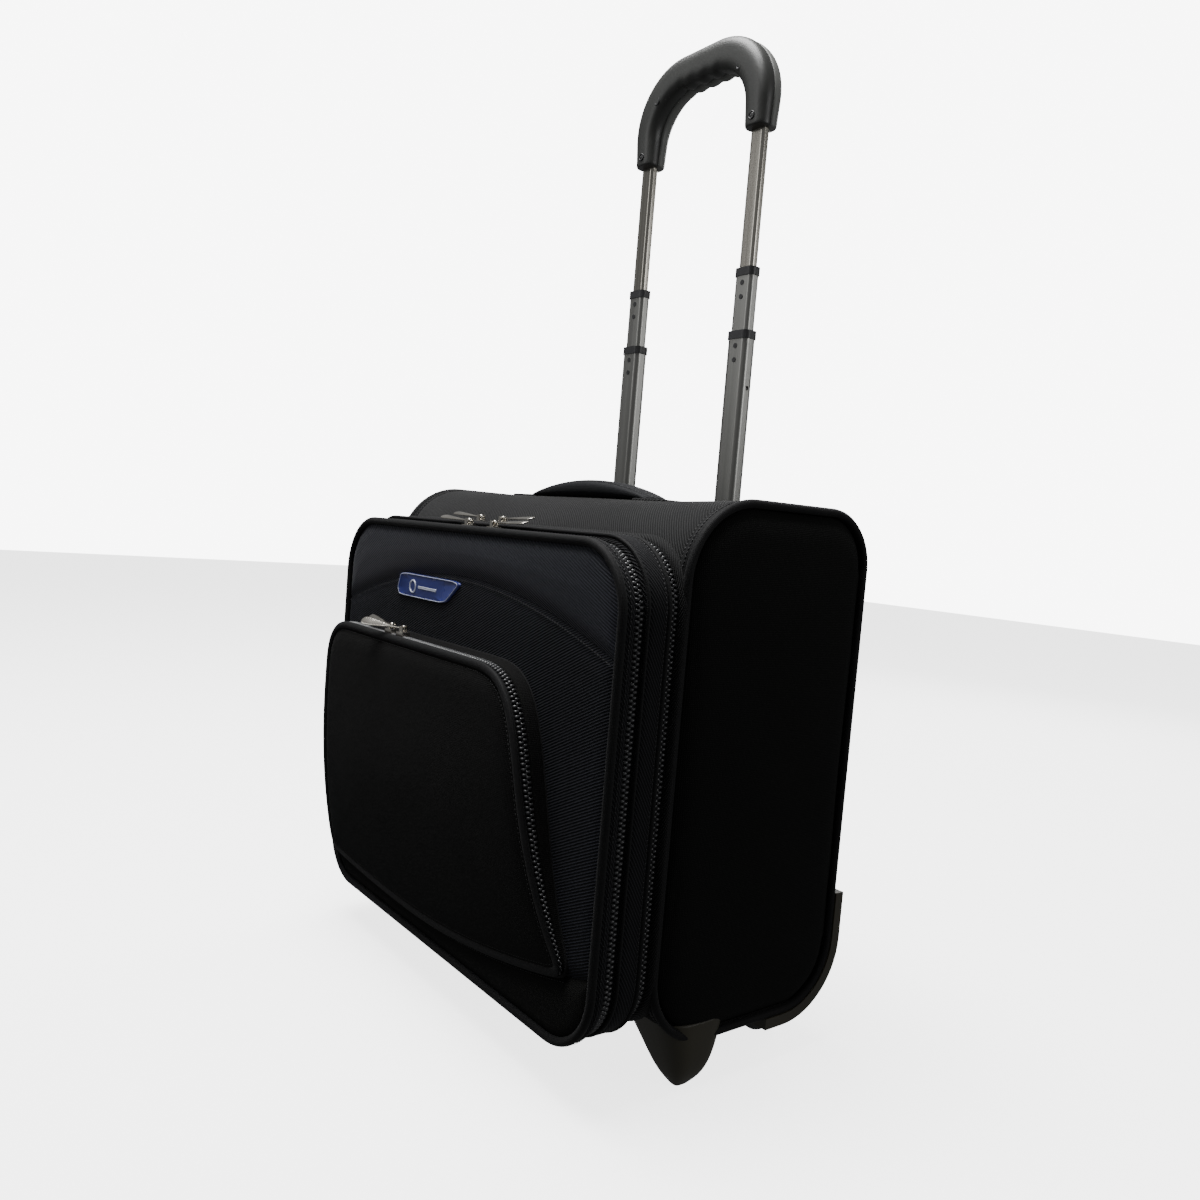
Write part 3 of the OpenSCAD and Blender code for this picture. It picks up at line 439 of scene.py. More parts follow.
def rounded_loop(box, radii, inset=0.0, arc_steps=18, step=0.006):
    """Closed loop round a box (left, right, low, high), counter-clockwise from the lower
    left, with a radius per corner. An inset moves it inwards and keeps its points matched."""
    left, right, low, high = box
    radii = np.broadcast_to(radii, 4)
    centres = [(left + radii[0], low + radii[0]), (right - radii[1], low + radii[1]),
               (right - radii[2], high - radii[2]), (left + radii[3], high - radii[3])]
    corners = [arc(c, r - inset, 180 + 90 * k, 90, arc_steps)
               for k, (c, r) in enumerate(zip(centres, radii))]
    sides = [(right - left) - radii[0] - radii[1], (high - low) - radii[1] - radii[2],
             (right - left) - radii[2] - radii[3], (high - low) - radii[3] - radii[0]]
    loop = []
    for k, corner in enumerate(corners):
        share = np.linspace(0, 1, max(2, round(sides[k] / step)) + 1)[1:-1, None]
        following = corners[(k + 1) % 4][0]
        loop += [corner, corner[-1] + (following - corner[-1]) * share]
    return np.vstack(loop)


def outward(loop, closed=True):
    """Unit normals of a counter-clockwise loop, from the chord between its neighbours."""
    if closed:
        chord = np.roll(loop, -1, 0) - np.roll(loop, 1, 0)
    else:
        chord = np.gradient(loop, axis=0)
    normal = np.stack([chord[:, 1], -chord[:, 0]], 1)
    return normal / np.linalg.norm(normal, axis=1, keepdims=True)


def even(loop, pitch):
    """The same closed loop with points a pitch apart along it."""
    ring = np.vstack([loop, loop[:1]])
    length = np.concatenate([[0], np.cumsum(np.linalg.norm(np.diff(ring, axis=0), axis=1))])
    count = int(round(length[-1] / pitch))
    places = np.arange(count) * length[-1] / count
    return np.stack([np.interp(places, length, ring[:, k]) for k in (0, 1)], 1)


def lift(flat, across, plane):
    """Puts (a, b) points and a distance across them in space, for a front or a side loop."""
    across = np.broadcast_to(across, flat.shape[:-1])
    if plane == "front":
        return np.stack([flat[..., 0], across, flat[..., 1]], -1)
    return np.stack([across, flat[..., 0], flat[..., 1]], -1)


def swept(loop, profile, plane="front", closed_profile=True, closed_loop=True, away_from=None):
    """Carries a profile of (out, across) points round a loop."""
    profile = np.asarray(profile, float)
    flat = loop[:, None] + outward(loop, closed_loop)[:, None] * profile[None, :, :1]
    points = lift(flat, profile[None, :, 1], plane)
    return grid(points, wrap_u=closed_loop, wrap_v=closed_profile, away_from=away_from)


def oval(out, across, out_radius, across_radius=None, steps=14):
    """Oval profile round a point."""
    angle = math.tau * np.arange(steps) / steps
    return np.stack([out + out_radius * np.cos(angle),
                     across + (across_radius or out_radius) * np.sin(angle)], 1)


def studs(places, along, up, length, width, height):
    """One small rounded block at each place: three square rings, the last one smaller."""
    across = np.cross(up, along)
    levels = ((0.0, 1.0), (0.6, 1.0), (1.0, 0.5))
    turns = ((-1, -1), (1, -1), (1, 1), (-1, 1))
    rings = [places + up * height * rise + along * (a * length / 2 * share)
             + across * (b * width / 2 * share) for rise, share in levels for a, b in turns]
    points = np.stack(rings, 1)
    sides = [(r * 4 + k, r * 4 + (k + 1) % 4, (r + 1) * 4 + (k + 1) % 4, (r + 1) * 4 + k)
             for r in (0, 1) for k in range(4)]
    shape = np.array(sides + [(3, 2, 1, 0), (8, 9, 10, 11)])
    faces = (shape[None] + 12 * np.arange(len(places))[:, None, None]).reshape(-1, 4)
    return points.reshape(-1, 3), faces, np.zeros((len(faces), 4, 2))


def stitches(loop, out, across, plane="front", pitch=0.0032, closed=True):
    """Row of thread stitches lying along a loop."""
    path = even(loop, pitch) if closed else loop
    normal = outward(path, closed)
    tangent = np.stack([-normal[:, 1], normal[:, 0]], 1)
    places = lift(path + normal * out, across, plane)
    return studs(places, lift(tangent, 0.0, plane), lift(normal, 0.0, plane),
                 pitch * 0.68, 0.0006, 0.0004)


def pad(loop, centre, height, plane, side, rings=30):
    """Padded face: rings of the loop drawn in to its centre, raised by a function of the
    distance to the loop. Side is the way it faces across the plane."""
    share = 1 - (np.arange(rings + 1) / rings)
    flat = np.asarray(centre) + (loop[None] - np.asarray(centre)) * share[:, None, None]
    gap = np.linalg.norm(flat.reshape(-1, 1, 2) - loop[None], axis=2).min(1)
    across = height(gap.reshape(flat.shape[:2]), flat)
    points = lift(flat, across, plane)
    behind = points.reshape(-1, 3).mean(0)
    behind[1 if plane == "front" else 0] -= side * 10
    return grid(points, wrap_v=True, uv=np.concatenate([flat, flat[:, :1]], 1), away_from=behind)


def plump(gap, width):
    """Rises steeply from 0 at an edge and levels out at 1."""
    return 1 - np.exp(-(gap / width) ** 1.3)


def slack(a, b, size):
    """Slow uneven waves of cloth over foam: a sum of four fixed sines."""
    return size * (np.sin(a * 21 + 0.7) * np.sin(b * 17 + 1.9)
                   + 0.5 * np.sin(a * 43 + b * 31 + 0.4) + 0.3 * np.sin(a * 13 - b * 57 + 2.1)
                   + 0.25 * np.sin(a * 71 - 1.1) * np.sin(b * 64 + 0.5)) / 2


def paint(finish, *names):
    """Gives carried-over nodes their finish."""
    for name in names:
        for material_slot in frame["nodes"][name].material_slots:
            material_slot.material = finish


def bevelled_copy(node, finish, body, width, segments=3):
    """Copy of a node with merged corners and rounded edges, standing for it."""
    mesh = frame["nodes"][node].data.copy()
    work = bmesh.new()
    work.from_mesh(mesh)
    bmesh.ops.remove_doubles(work, verts=work.verts, dist=1e-5)
    bmesh.ops.dissolve_limit(work, angle_limit=math.radians(1), verts=work.verts,
                             edges=work.edges)
    work.to_mesh(mesh)
    work.free()
    mesh.materials.clear()
    mesh.materials.append(finish)
    mesh.polygons.foreach_set("use_smooth", np.ones(len(mesh.polygons), dtype=bool))
    if "custom_normal" in mesh.attributes:
        mesh.attributes.remove(mesh.attributes["custom_normal"])
    mesh.set_sharp_from_angle(angle=math.radians(35))
    obj = bpy.data.objects.new(node + "_rounded", mesh)
    scene.collection.objects.link(obj)
    bevel = obj.modifiers.new("edges", "BEVEL")
    bevel.width = width
    bevel.segments = segments
    bevel.limit_method = "ANGLE"
    bevel.angle_limit = math.radians(35)
    bevel.harden_normals = True
    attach(obj, body)
    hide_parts(node)
    return obj


# ---- Case body ----

def body_front(z):
    """How far the body's side outline lies behind its front face at a height."""
    low_r, high_r = side_radii[0], side_radii[3]
    below = np.clip(base_z + low_r - z, 0, low_r)
    above = np.clip(z - (top_z - high_r), 0, high_r)
    return (low_r - np.sqrt(low_r ** 2 - below ** 2)) + (high_r - np.sqrt(high_r ** 2 - above ** 2))


side_box = (front_y, back_y, base_z, top_z)
piping_radius = 0.0032


def side_piping(side):
    """Round welt and a flatter bound edge beside it, both stitched, round one side."""
    loop = rounded_loop(side_box, side_radii, 0, step=0.008)
    welt = oval(-0.0014, side * (half_width - 0.0030), piping_radius)
    binding = oval(-0.0022, side * (half_width - 0.0100), 0.0026, 0.0045)
    name = "right" if side > 0 else "left"
    both = [swept(loop, welt, "side"), swept(loop, binding, "side")]
    piece(name + "_piping", both, piping_cloth, "case", ["side_piping"])
    rows = [stitches(loop, 0.0000, side * (half_width - 0.0125), "side"),
            stitches(loop, 0.0004, side * (half_width - 0.0088), "side")]
    piece(name + "_piping_stitches", rows, stitch_thread, "case", merge=False)


def side_panel(side):
    """Foam-backed side: plump just inside the piping, then nearly flat with slack waves."""
    loop = rounded_loop(side_box, side_radii, 0.0046, step=0.008)
    middle = np.array([(front_y + back_y) / 2, (base_z + top_z) / 2])

    def height(gap, flat):
        rise = -0.0055 + 0.0078 * plump(gap, 0.007) + 0.0022 * plump(gap, 0.05)
        waves = slack(flat[..., 0], flat[..., 1], 0.0009) * plump(gap, 0.03)
        return side * (half_width + rise + waves)

    name = "right" if side > 0 else "left"
    panel = piece(name + "_side_pad", [pad(loop, middle, height, "side", side, 44)], side_cloth,
                  "case", [name + "_side_panel"], wall=0.004, inside=lining_cloth)


def cover(name, keep, node, finish, hole=None, sag=0.0):
    """Stretch of the fabric wrap between the pipings: the side outline where keep(y, z)
    holds, carried across the case, plump at its seams and slightly slack between."""
    loop = even(rounded_loop(side_box, side_radii, 0, arc_steps=40, step=0.004), 0.004)
    kept = keep(loop[:, 0], loop[:, 1])
    start = int(np.argmax(kept & ~np.roll(kept, 1)))
    order = (start + np.arange(kept.sum())) % len(loop)
    normal = outward(loop)[order]
    path = loop[order]
    reach = half_width - 0.0085
    x = np.linspace(-reach, reach, 107)
    run = np.arange(len(path)) * 0.004
    gap = np.minimum(np.minimum(run, run[-1] - run)[:, None], (reach - np.abs(x))[None])
    rise = -0.0022 + 0.0028 * plump(gap, 0.006)
    rise = rise + slack(x[None] + path[:, 1:], path[:, :1] + path[:, 1:], 0.0008) * plump(gap, 0.04)
    rise = rise - sag * np.exp(-((path[:, :1] - front_y - 0.062) / 0.032) ** 2) * plump(gap, 0.06)
    if hole:
        edge = np.maximum(np.abs(x)[None] - bezel_high[0],
                          np.maximum(bezel_low[1] - path[:, :1], bezel_low[2] - path[:, 1:]))
        rise = rise * np.clip(edge / 0.02, 0, 1) - 0.0006 * (edge < 0.02)
    flat = path[:, None] + normal[:, None] * rise[..., None]
    points = np.stack([np.broadcast_to(x, rise.shape), flat[..., 0], flat[..., 1]], -1)
    sheet = grid(points, away_from=(0, (front_y + back_y) / 2, (base_z + top_z) / 2))
    if hole:
        centre = sheet[0][sheet[1]].mean(1)
        inside = ((np.abs(centre[:, 0]) < bezel_high[0] - 0.003)
                  & (centre[:, 1] > bezel_low[1] + 0.003) & (centre[:, 2] > bezel_low[2] + 0.003))
        sheet = (sheet[0], sheet[1][~inside], sheet[2][~inside])
    obj = piece(name, [sheet], finish, "case", [node], wall=0.0035, inside=lining_cloth)


for side in (-1, 1):
    side_piping(side)
    side_panel(side)

top_seam = top_z - side_radii[3]
low_seam = base_z + side_radii[0]
cover("top_cover", lambda y, z: z >= top_seam - 0.001, "top_panel", body_twill,
      hole=True, sag=0.0035)
cover("back_cover", lambda y, z: (y > 0.04) & (z > low_seam) & (z < top_seam), "back_panel",
      body_twill)
cover("bottom_cover", lambda y, z: z <= low_seam, "bottom_panel", side_cloth)


def opening_gusset():
    """Twill ring from the zip back to the body, with a turned-in front edge."""
    low, high = span("opening_frame")
    loop = rounded_loop((low[0], high[0], low[2], high[2]), lid_radius, 0, step=0.008)
    normal = outward(loop)
    rear = front_y + body_front(loop[:, 1]) + 0.003
    out = np.array([-0.015, -0.012, -0.006, -0.0015, 0.0, 0.0012, 0.0014, 0.0004, -0.001])
    share = np.array([0.30, 0.05, 0.0, 0.02, 0.12, 0.35, 0.6, 0.85, 1.0])
    flat = loop[:, None] + normal[:, None] * out[None, :, None]
    y = low[1] + share[None] * (rear - low[1])[:, None]
    ring = grid(lift(flat, y, "front"), wrap_u=True,
                away_from=(0, back_y, (low[2] + high[2]) / 2))
    piece("opening_gusset", [ring], body_twill, "case", ["opening_frame"],
          wall=0.0025, inside=lining_cloth)


opening_gusset()


# ---- Zips ----

def zip_half(name, loop, middle, edge, body, node, shaped=lambda part: part):
    """One tape of a zip with its row of coil teeth. Middle is where the rows mesh and edge
    is the tape's sewn side, both across the loop. Shaped moves the finished parts."""
    way = 1 if edge > middle else -1
    tape_low, tape_high = sorted((middle + way * 0.0004, edge))
    profile = [(-0.0014, tape_low), (-0.0014, tape_high), (-0.0004, tape_high),
               (-0.0002, (tape_low + tape_high) / 2), (-0.0004, tape_low)]
    tape = shaped(swept(loop, profile))
    piece(name + "_tape", [tape], tape_cloth, body, [node], sharp=50)
    pitch = 0.0037
    path = even(loop, pitch)
    normal = outward(path)
    tangent = np.stack([-normal[:, 1], normal[:, 0]], 1)
    if way < 0:
        path = path + tangent * pitch / 2
    places = lift(path - normal * 0.0010, middle + way * 0.0014, "front")
    row = studs(places, lift(tangent, 0.0, "front"), lift(normal, 0.0, "front"), 0.0021,
                0.0038, 0.0026)
    piece(name + "_teeth", [shaped(row)], coil_nylon, body, merge=False)


def zip_loop(node, radius):
    """Outline of a zip, from its node's box."""
    low, high = span(node)
    return rounded_loop((low[0], high[0], low[2], high[2]), radius, 0, step=0.008), low[1], high[1]


main_loop, main_near, main_far = zip_loop("main_zip", 0.044)
main_mid = (main_near + main_far) / 2
zip_half("main_zip_rear", main_loop, main_mid, main_far + 0.001, "case", "main_zip")
zip_half("main_zip_front", main_loop, main_mid, main_near, "front_box", "main_zip")
lid_loop_zip, lid_near, lid_far = zip_loop("lid_zip", 0.046)
lid_mid = (lid_near + lid_far) / 2
zip_half("lid_zip_rear", lid_loop_zip, lid_mid, lid_far, "front_box", "lid_zip")
zip_half("lid_zip_front", lid_loop_zip, lid_mid, lid_near, "lid", "lid_zip")


# ---- Front box ----

def front_band():
    """Twill band between the two zips, rolled over at both edges, with a welt at the rear."""
    low, high = span("front_band")
    loop = rounded_loop((low[0], high[0], low[2], high[2]), lid_radius, 0, step=0.008)
    share = np.linspace(0, 1, 13)
    y = high[1] - 0.0002 + (low[1] - high[1] + 0.0004) * share
    out = -0.0040 + 0.0048 * plump(np.minimum(share, 1 - share), 0.10)
    outer = np.stack([out, y], 1)
    inner = np.array([(-0.0085, low[1] + 0.0002), (-0.0085, high[1] - 0.0002)])
    ring = swept(loop, np.vstack([outer, inner]))
    piece("front_band_cover", [ring], band_twill, "front_box", ["front_band"])
    welts = [swept(loop, oval(-0.0002, high[1] - 0.0030, 0.0019)),
             swept(loop, oval(-0.0006, low[1] + 0.0022, 0.0014))]
    piece("front_band_welts", welts, piping_cloth, "front_box")
    piece("front_band_stitches", [stitches(loop, 0.0006, high[1] - 0.0062)], stitch_thread,
          "front_box", merge=False)


front_band()


# ---- Lid ----

lid_box = (lid_low[0], lid_high[0], lid_low[2], lid_high[2])
lid_loop = rounded_loop(lid_box, lid_radius, 0, step=0.008)
lid_face_y = lid_low[1]
arch_ends_z = lid_low[2] + 0.269
arch_rise = 0.041


def arch_seam(x):
    """Height of the arched seam across the lid: a parabola, highest at the middle."""
    return arch_ends_z + arch_rise * (1 - (x / half_width) ** 2)


def pocket_seam(x):
    """Height of the pocket's bowed lower seam: a parabola, flatter on its left half."""
    return lid_low[2] + 0.021 + (x + 0.050) ** 2 / np.where(x < -0.050, 4.0, 1.745)


def lid_rim():
    """Side wall of the lid with a round welt along its front edge and a stitch line."""
    y_low, y_high = lid_low[1], lid_high[1]
    wall = [(-0.0070, y_high), (-0.0030, y_high - 0.0002), (-0.0004, y_high - 0.0016),
            (0.0, y_high - 0.0036), (-0.0002, y_low + 0.0036), (-0.0014, y_low + 0.0020),
            (-0.0070, y_low + 0.0020)]
    piece("lid_rim_cover", [swept(lid_loop, wall)], band_twill, "lid",
          ["lid_rim"])
    welt = swept(lid_loop, oval(-0.0026, y_low + 0.0004, 0.0032))
    piece("lid_welt", [welt], piping_cloth, "lid")
    piece("lid_rim_stitches", [stitches(lid_loop, 0.0002, y_low + 0.0052)], stitch_thread,
          "lid", merge=False)


def lid_panel(name, low_seam_at, high_seam_at, finish, nodes=(), crown=0.0):
    """Part of the lid's face between two seams: columns from one to the other inside the
    lid's rounded outline, plump beside every edge. Columns crowd towards the two sides."""
    inset = 0.0045
    half = lid_high[0] - inset
    radius = lid_radius - inset
    low_edge, high_edge = lid_low[2] + inset, lid_high[2] - inset
    x = half * np.sin(np.linspace(-math.pi / 2, math.pi / 2, 121))
    over = np.clip(np.abs(x) - (half - radius), 0, radius)
    dip = radius - np.sqrt(np.maximum(radius ** 2 - over ** 2, 0))
    low = np.maximum(low_edge + dip, low_seam_at(x))
    high = np.minimum(high_edge - dip, high_seam_at(x))
    share = (1 - np.cos(np.linspace(0, math.pi, 61))) / 2
    z = low[:, None] + (high - low)[:, None] * share[None]
    grid_x = np.broadcast_to(x[:, None], z.shape)
    to_side = half - np.abs(grid_x)
    corner = np.hypot(np.maximum(np.abs(grid_x) - (half - radius), 0),
                      np.maximum(np.maximum(z - (high_edge - radius), low_edge + radius - z), 0))
    to_outline = np.minimum(np.minimum(to_side, radius - corner + 0 * z),
                            np.minimum(z - low_edge, high_edge - z))
    slope = np.hypot(1, 2 * arch_rise * grid_x / half_width ** 2)
    to_seams = np.minimum(np.abs(z - low_seam_at(grid_x)), np.abs(high_seam_at(grid_x) - z)) / slope
    gap = np.maximum(np.minimum(to_outline, to_seams), 0)
    rise = -0.0018 + 0.0032 * plump(gap, 0.005) + crown * plump(gap, 0.05)
    rise = rise + slack(grid_x, z, 0.0006) * plump(gap, 0.03)
    points = np.stack([grid_x, lid_face_y - rise, z], -1)
    sheet = grid(points, uv=np.stack([grid_x, z], -1), away_from=(0, 10, 0.2))
    obj = piece(name, [sheet], finish, "lid", nodes, wall=0.003, inside=lining_cloth)


def seam_line(name, seam, reach, drop, body, finish=stitch_thread):
    """Topstitching just below a seam across the lid."""
    x = np.arange(-reach, reach, 0.0032)
    path = np.stack([x, seam(x) - drop], 1)
    slope = np.gradient(path[:, 1], x)
    along = np.stack([np.ones_like(x), 0 * x, slope], 1)
    along /= np.linalg.norm(along, axis=1, keepdims=True)
    up = np.broadcast_to([0.0, -1.0, 0.0], along.shape)
    places = np.stack([path[:, 0], np.full(len(x), lid_face_y - 0.0008), path[:, 1]], 1)
    piece(name, [studs(places, along, up, 0.0022, 0.0006, 0.0006)], finish, body,
          merge=False)


def beyond(sign):
    """A seam that lies outside the lid."""
    return lambda x: np.full_like(x, sign * 10.0)


lid_rim()
lid_panel("lid_arch_panel", arch_seam, beyond(1), arch_satin, ["lid_panel"],
          crown=0.003)
lid_panel("lid_face_panel", pocket_seam, arch_seam, lid_twill, ["lid_panel"])
lid_panel("lid_kick_panel", beyond(-1), pocket_seam, kick_cloth, ["lid_panel"],
          crown=0.001)
seam_line("arch_stitches", arch_seam, 0.205, 0.0035, "lid")
seam_line("kick_stitches", pocket_seam, 0.185, 0.0035, "lid")


# ---- Badge ----

def badge():
    """Enamelled plate with a thin bright rim and a plain raised ring and bar."""
    low, high = span("badge")
    height = high[2] - low[2]
    corners = np.array([(low[0] + 0.005, high[2]), (high[0], high[2]),
                        (high[0] - 0.025, low[2]), (low[0] + 0.004, low[2]),
                        (low[0], low[2] + 0.3 * height)])
    middle = corners.mean(0)
    count = 24
    share = np.arange(count)[:, None] / count
    loop = np.vstack([a + (b - a) * share for a, b in zip(corners, np.roll(corners, -1, 0))])[::-1]
    kernel = np.ones(9) / 9
    loop = np.stack([np.convolve(np.concatenate([loop[-4:, k], loop[:, k], loop[:4, k]]), kernel,
                                 "valid") for k in (0, 1)], 1)
    scales = np.array([1.0, 1.0, 0.985, 0.94, 0.90, 0.88, 0.5, 0.0])
    rises = np.array([-0.0030, 0.0004, 0.0010, 0.0012, 0.0010, 0.0005, 0.0008, 0.0009])
    flat = middle + (loop[None] - middle) * scales[:, None, None]
    depths = np.broadcast_to(low[1] - rises[:, None], flat.shape[:2])
    points = lift(flat, depths, "front")
    plate = grid(points, wrap_v=True, away_from=(middle[0], 10, middle[1]))
    piece("badge_plate", [plate], badge_blue, "lid", ["badge"], sharp=60)
    rim = swept(middle + (loop - middle) * 0.95, oval(0, low[1] - 0.0011, 0.0003, steps=8))
    ring = swept(arc((low[0] + 0.030, middle[1]), 0.0052, 0, 360, 40)[:-1],
                 oval(0, low[1] - 0.0009, 0.0007, steps=8))
    bar_low, bar_high = low[0] + 0.040, low[0] + 0.072
    bar_loop = rounded_loop((bar_low, bar_high, middle[1] - 0.0010, middle[1] + 0.0010), 0.0009,
                            0, arc_steps=5, step=0.002)
    bar = swept(bar_loop, oval(-0.0004, low[1] - 0.0008, 0.0006, steps=8))
    piece("badge_rim", [rim, ring, bar], badge_silver, "lid")


badge_blue = moulded("badge_blue", (0.010, 0.016, 0.11), (0.020, 0.030, 0.19), 900, 0.00001,
                     roughness=0.28, specular=0.5)
badge_silver, _ = new_finish("badge_silver", (0.55, 0.58, 0.70), 0.35, Metallic=0.3)
badge()


# ---- Front pocket ----

def smoothed_loop(points, pitch, reach):
    """Even loop with its corners eased by averaging over a stretch of its length."""
    loop = even(points, pitch)
    width = int(reach / pitch) | 1
    wrapped = np.concatenate([loop[-(width // 2):], loop, loop[:width // 2]])
    kernel = np.hanning(width + 2)[1:-1]
    kernel /= kernel.sum()
    return np.stack([np.convolve(wrapped[:, k], kernel, "valid") for k in (0, 1)], 1)


def pocket_outline():
    """Pocket outline: bowed lower seam, swept right side, level top, upright left side."""
    left, right = gusset_low[0], gusset_high[0]
    top = gusset_high[2]
    x = np.linspace(left, right, 60)
    lower = np.stack([x, pocket_seam(x)], 1)
    t = np.linspace(0, 1, 40)[1:, None]
    a, b = np.array([right, pocket_seam(right)]), np.array([right - 0.060, top - 0.093])
    c, d = np.array([right - 0.040, top]), np.array([right - 0.110, top])
    sweep = a * (1 - t) ** 3 + 3 * b * t * (1 - t) ** 2 + 3 * c * t ** 2 * (1 - t) + d * t ** 3
    corner_radius = 0.035
    turned = arc((left + corner_radius, top - corner_radius), corner_radius, 90, 90, 16)
    return smoothed_loop(np.vstack([lower, sweep, turned]), 0.0025, 0.050)


def leaned(part):
    """Draws a pocket part back to the lid towards the lower seam: full depth above, about
    a quarter of it at the seam, by a smooth step in height over the seam."""
    points, faces, face_uv = part
    rise = np.clip((points[:, 2] - pocket_seam(points[:, 0])) / 0.165, 0, 1)
    share = 0.24 + 0.76 * (1 - (1 - rise) ** 2.2)
    ahead = points[:, 1] - lid_face_y
    y = np.where(ahead < 0, lid_face_y + ahead * share, points[:, 1])
    return np.stack([points[:, 0], y, points[:, 2]], 1), faces, face_uv


def front_pocket():
    """Gusset, zip, rolled welt and padded face of the front pocket."""
    loop = pocket_outline()
    middle = np.array([-0.030, (gusset_low[2] + gusset_high[2]) / 2])
    zip_low, zip_high = span("pocket_zip")
    gusset_profile = [(-0.0042, lid_face_y + 0.001), (0.0006, lid_face_y + 0.0012),
                      (0.0010, lid_face_y - 0.0015), (0.0000, lid_face_y - 0.0050),
                      (-0.0004, zip_high[1] + 0.0030), (-0.0002, zip_high[1] + 0.0006),
                      (-0.0016, zip_high[1]), (-0.0042, zip_high[1])]
    piece("pocket_gusset_cover", [leaned(swept(loop, gusset_profile))], pocket_cloth, "lid",
          ["pocket_gusset"])
    welt = swept(loop, oval(0.0004, lid_face_y - 0.0006, 0.0016))
    piece("pocket_gusset_welt", [welt], piping_cloth, "lid")
    tape_loop = loop - outward(loop) * 0.0015
    zip_mid = (zip_low[1] + zip_high[1]) / 2
    zip_half("pocket_zip_rear", tape_loop, zip_mid, zip_high[1], "lid", "pocket_zip",
             leaned)
    zip_half("pocket_zip_front", tape_loop, zip_mid, zip_low[1] - 0.0002, "pocket_flap",
             "pocket_zip", leaned)
    face_y = pocket_low_corner[1]
    face_edge = pocket_high_corner[1]
    rolled = leaned(swept(loop, oval(-0.0030, face_edge - 0.0024, 0.0033, 0.0024)))
    piece("pocket_welt", [rolled], piping_cloth, "pocket_flap")
    inner = loop - outward(loop) * 0.0042

    def height(gap, flat):
        rise = -0.0036 + 0.0048 * plump(gap, 0.006) + 0.0030 * plump(gap, 0.06)
        return face_y - rise - slack(flat[..., 0] + 0.3, flat[..., 1], 0.0012) * plump(gap, 0.03)

    face = piece("pocket_face", [leaned(pad(inner, middle, height, "front", -1, 48))], pocket_cloth,
                 "pocket_flap", ["pocket_panel"], wall=0.0025,
                 inside=lining_cloth)
    line = leaned(stitches(inner - outward(inner) * 0.004, 0, face_y + 0.0016))
    piece("pocket_stitches", [line], stitch_thread, "pocket_flap", merge=False)


front_pocket()


# ---- Carry handle ----

def carry_handle():
    """Padded handle: a flattened oval section carried over an arch, tapering to its sewn
    ends, with two stitched channels along its top."""
    low, high = span("carry_handle")
    half = high[0]
    y_mid, half_wide = (low[1] + high[1]) / 2, (high[1] - low[1]) / 2
    ground = top_z - 0.0030
    padded_half = half * 0.84
    x = np.linspace(-padded_half, padded_half, 81)
    u = x / padded_half
    angle = math.tau * np.arange(48) / 48
    arch = 0.0004 * (1 - u ** 2) ** 2
    thick = 0.0030 + 0.0135 * (1 - u ** 2) ** 0.8
    wide = half_wide * (0.80 + 0.20 * np.cos(u * math.pi / 2))
    c, s = np.cos(angle), np.sin(angle)
    across = np.sign(c) * np.abs(c) ** 0.7
    up = np.sign(s) * np.abs(s) ** 0.8
    channel = 0.0008 * (np.exp(-((across - 0.66) / 0.07) ** 2) + np.exp(-((across + 0.66) / 0.07) ** 2))
    z = (ground + 0.0008 + arch + thick / 2)[:, None] + (thick / 2)[:, None] * up[None]
    z = z - (channel * (up > 0))[None] * (1 - u ** 8)[:, None]
    y = y_mid + wide[:, None] * across[None]
    points = np.stack([np.broadcast_to(x[:, None], z.shape), y, z], -1)
    centre = points.mean(1, keepdims=True)
    ends = [centre[:1] + (points[:1] - centre[:1]) * k for k in (0.0, 0.6)]
    tails = [centre[-1:] + (points[-1:] - centre[-1:]) * k for k in (0.6, 0.0)]
    tube = grid(np.concatenate(ends + [points] + tails), wrap_v=True)
    handle = piece("carry_handle_pad", [tube], handle_cloth, "case",
                   ["carry_handle"])
    rows = []
    for sign in (-1, 1):
        xs = np.arange(-padded_half * 0.9, padded_half * 0.9, 0.0034)
        uu = xs / padded_half
        deep = 0.0030 + 0.0135 * (1 - uu ** 2) ** 0.8
        side_rise = (1 - 0.66 ** (2 / 0.7)) ** (0.8 / 2)
        zs = ground + 0.0003 + 0.0004 * (1 - uu ** 2) ** 2 + deep * (1 + side_rise) / 2
        ys = y_mid + sign * 0.66 * half_wide * (0.80 + 0.20 * np.cos(uu * math.pi / 2))
        along = np.stack([np.ones_like(xs), 0 * xs, np.gradient(zs, xs)], 1)
        along /= np.linalg.norm(along, axis=1, keepdims=True)
        up_axis = np.cross(along, np.broadcast_to([0.0, 1.0, 0.0], along.shape))
        up_axis *= np.sign(up_axis[:, 2:])
        rows.append(studs(np.stack([xs, ys, zs], 1), along, up_axis, 0.0023, 0.0006, 0.0005))
    piece("carry_handle_stitches", rows, stitch_thread, "case", merge=False)
    chapes = []
    for sign in (-1, 1):
        box = (sign * half * 0.92 - 0.024, sign * half * 0.92 + 0.014, y_mid - half_wide,
               y_mid + half_wide)
        loop = rounded_loop(box, 0.006, 0, arc_steps=8, step=0.004)
        centre = np.array([(box[0] + box[1]) / 2, y_mid])
        share = np.array([1.0, 1.0, 0.97, 0.9, 0.6, 0.3, 0.0])
        rise = np.array([-0.0006, 0.0014, 0.0024, 0.0028, 0.0030, 0.0031, 0.0031])
        flat = centre + (loop[None] - centre) * share[:, None, None]
        tops = np.stack([flat[..., 0], flat[..., 1],
                         ground + np.broadcast_to(rise[:, None], flat.shape[:2])], -1)
        chapes.append(grid(tops, wrap_v=True, away_from=(centre[0], y_mid, -10)))
    piece("carry_handle_chapes", chapes, body_twill, "case")


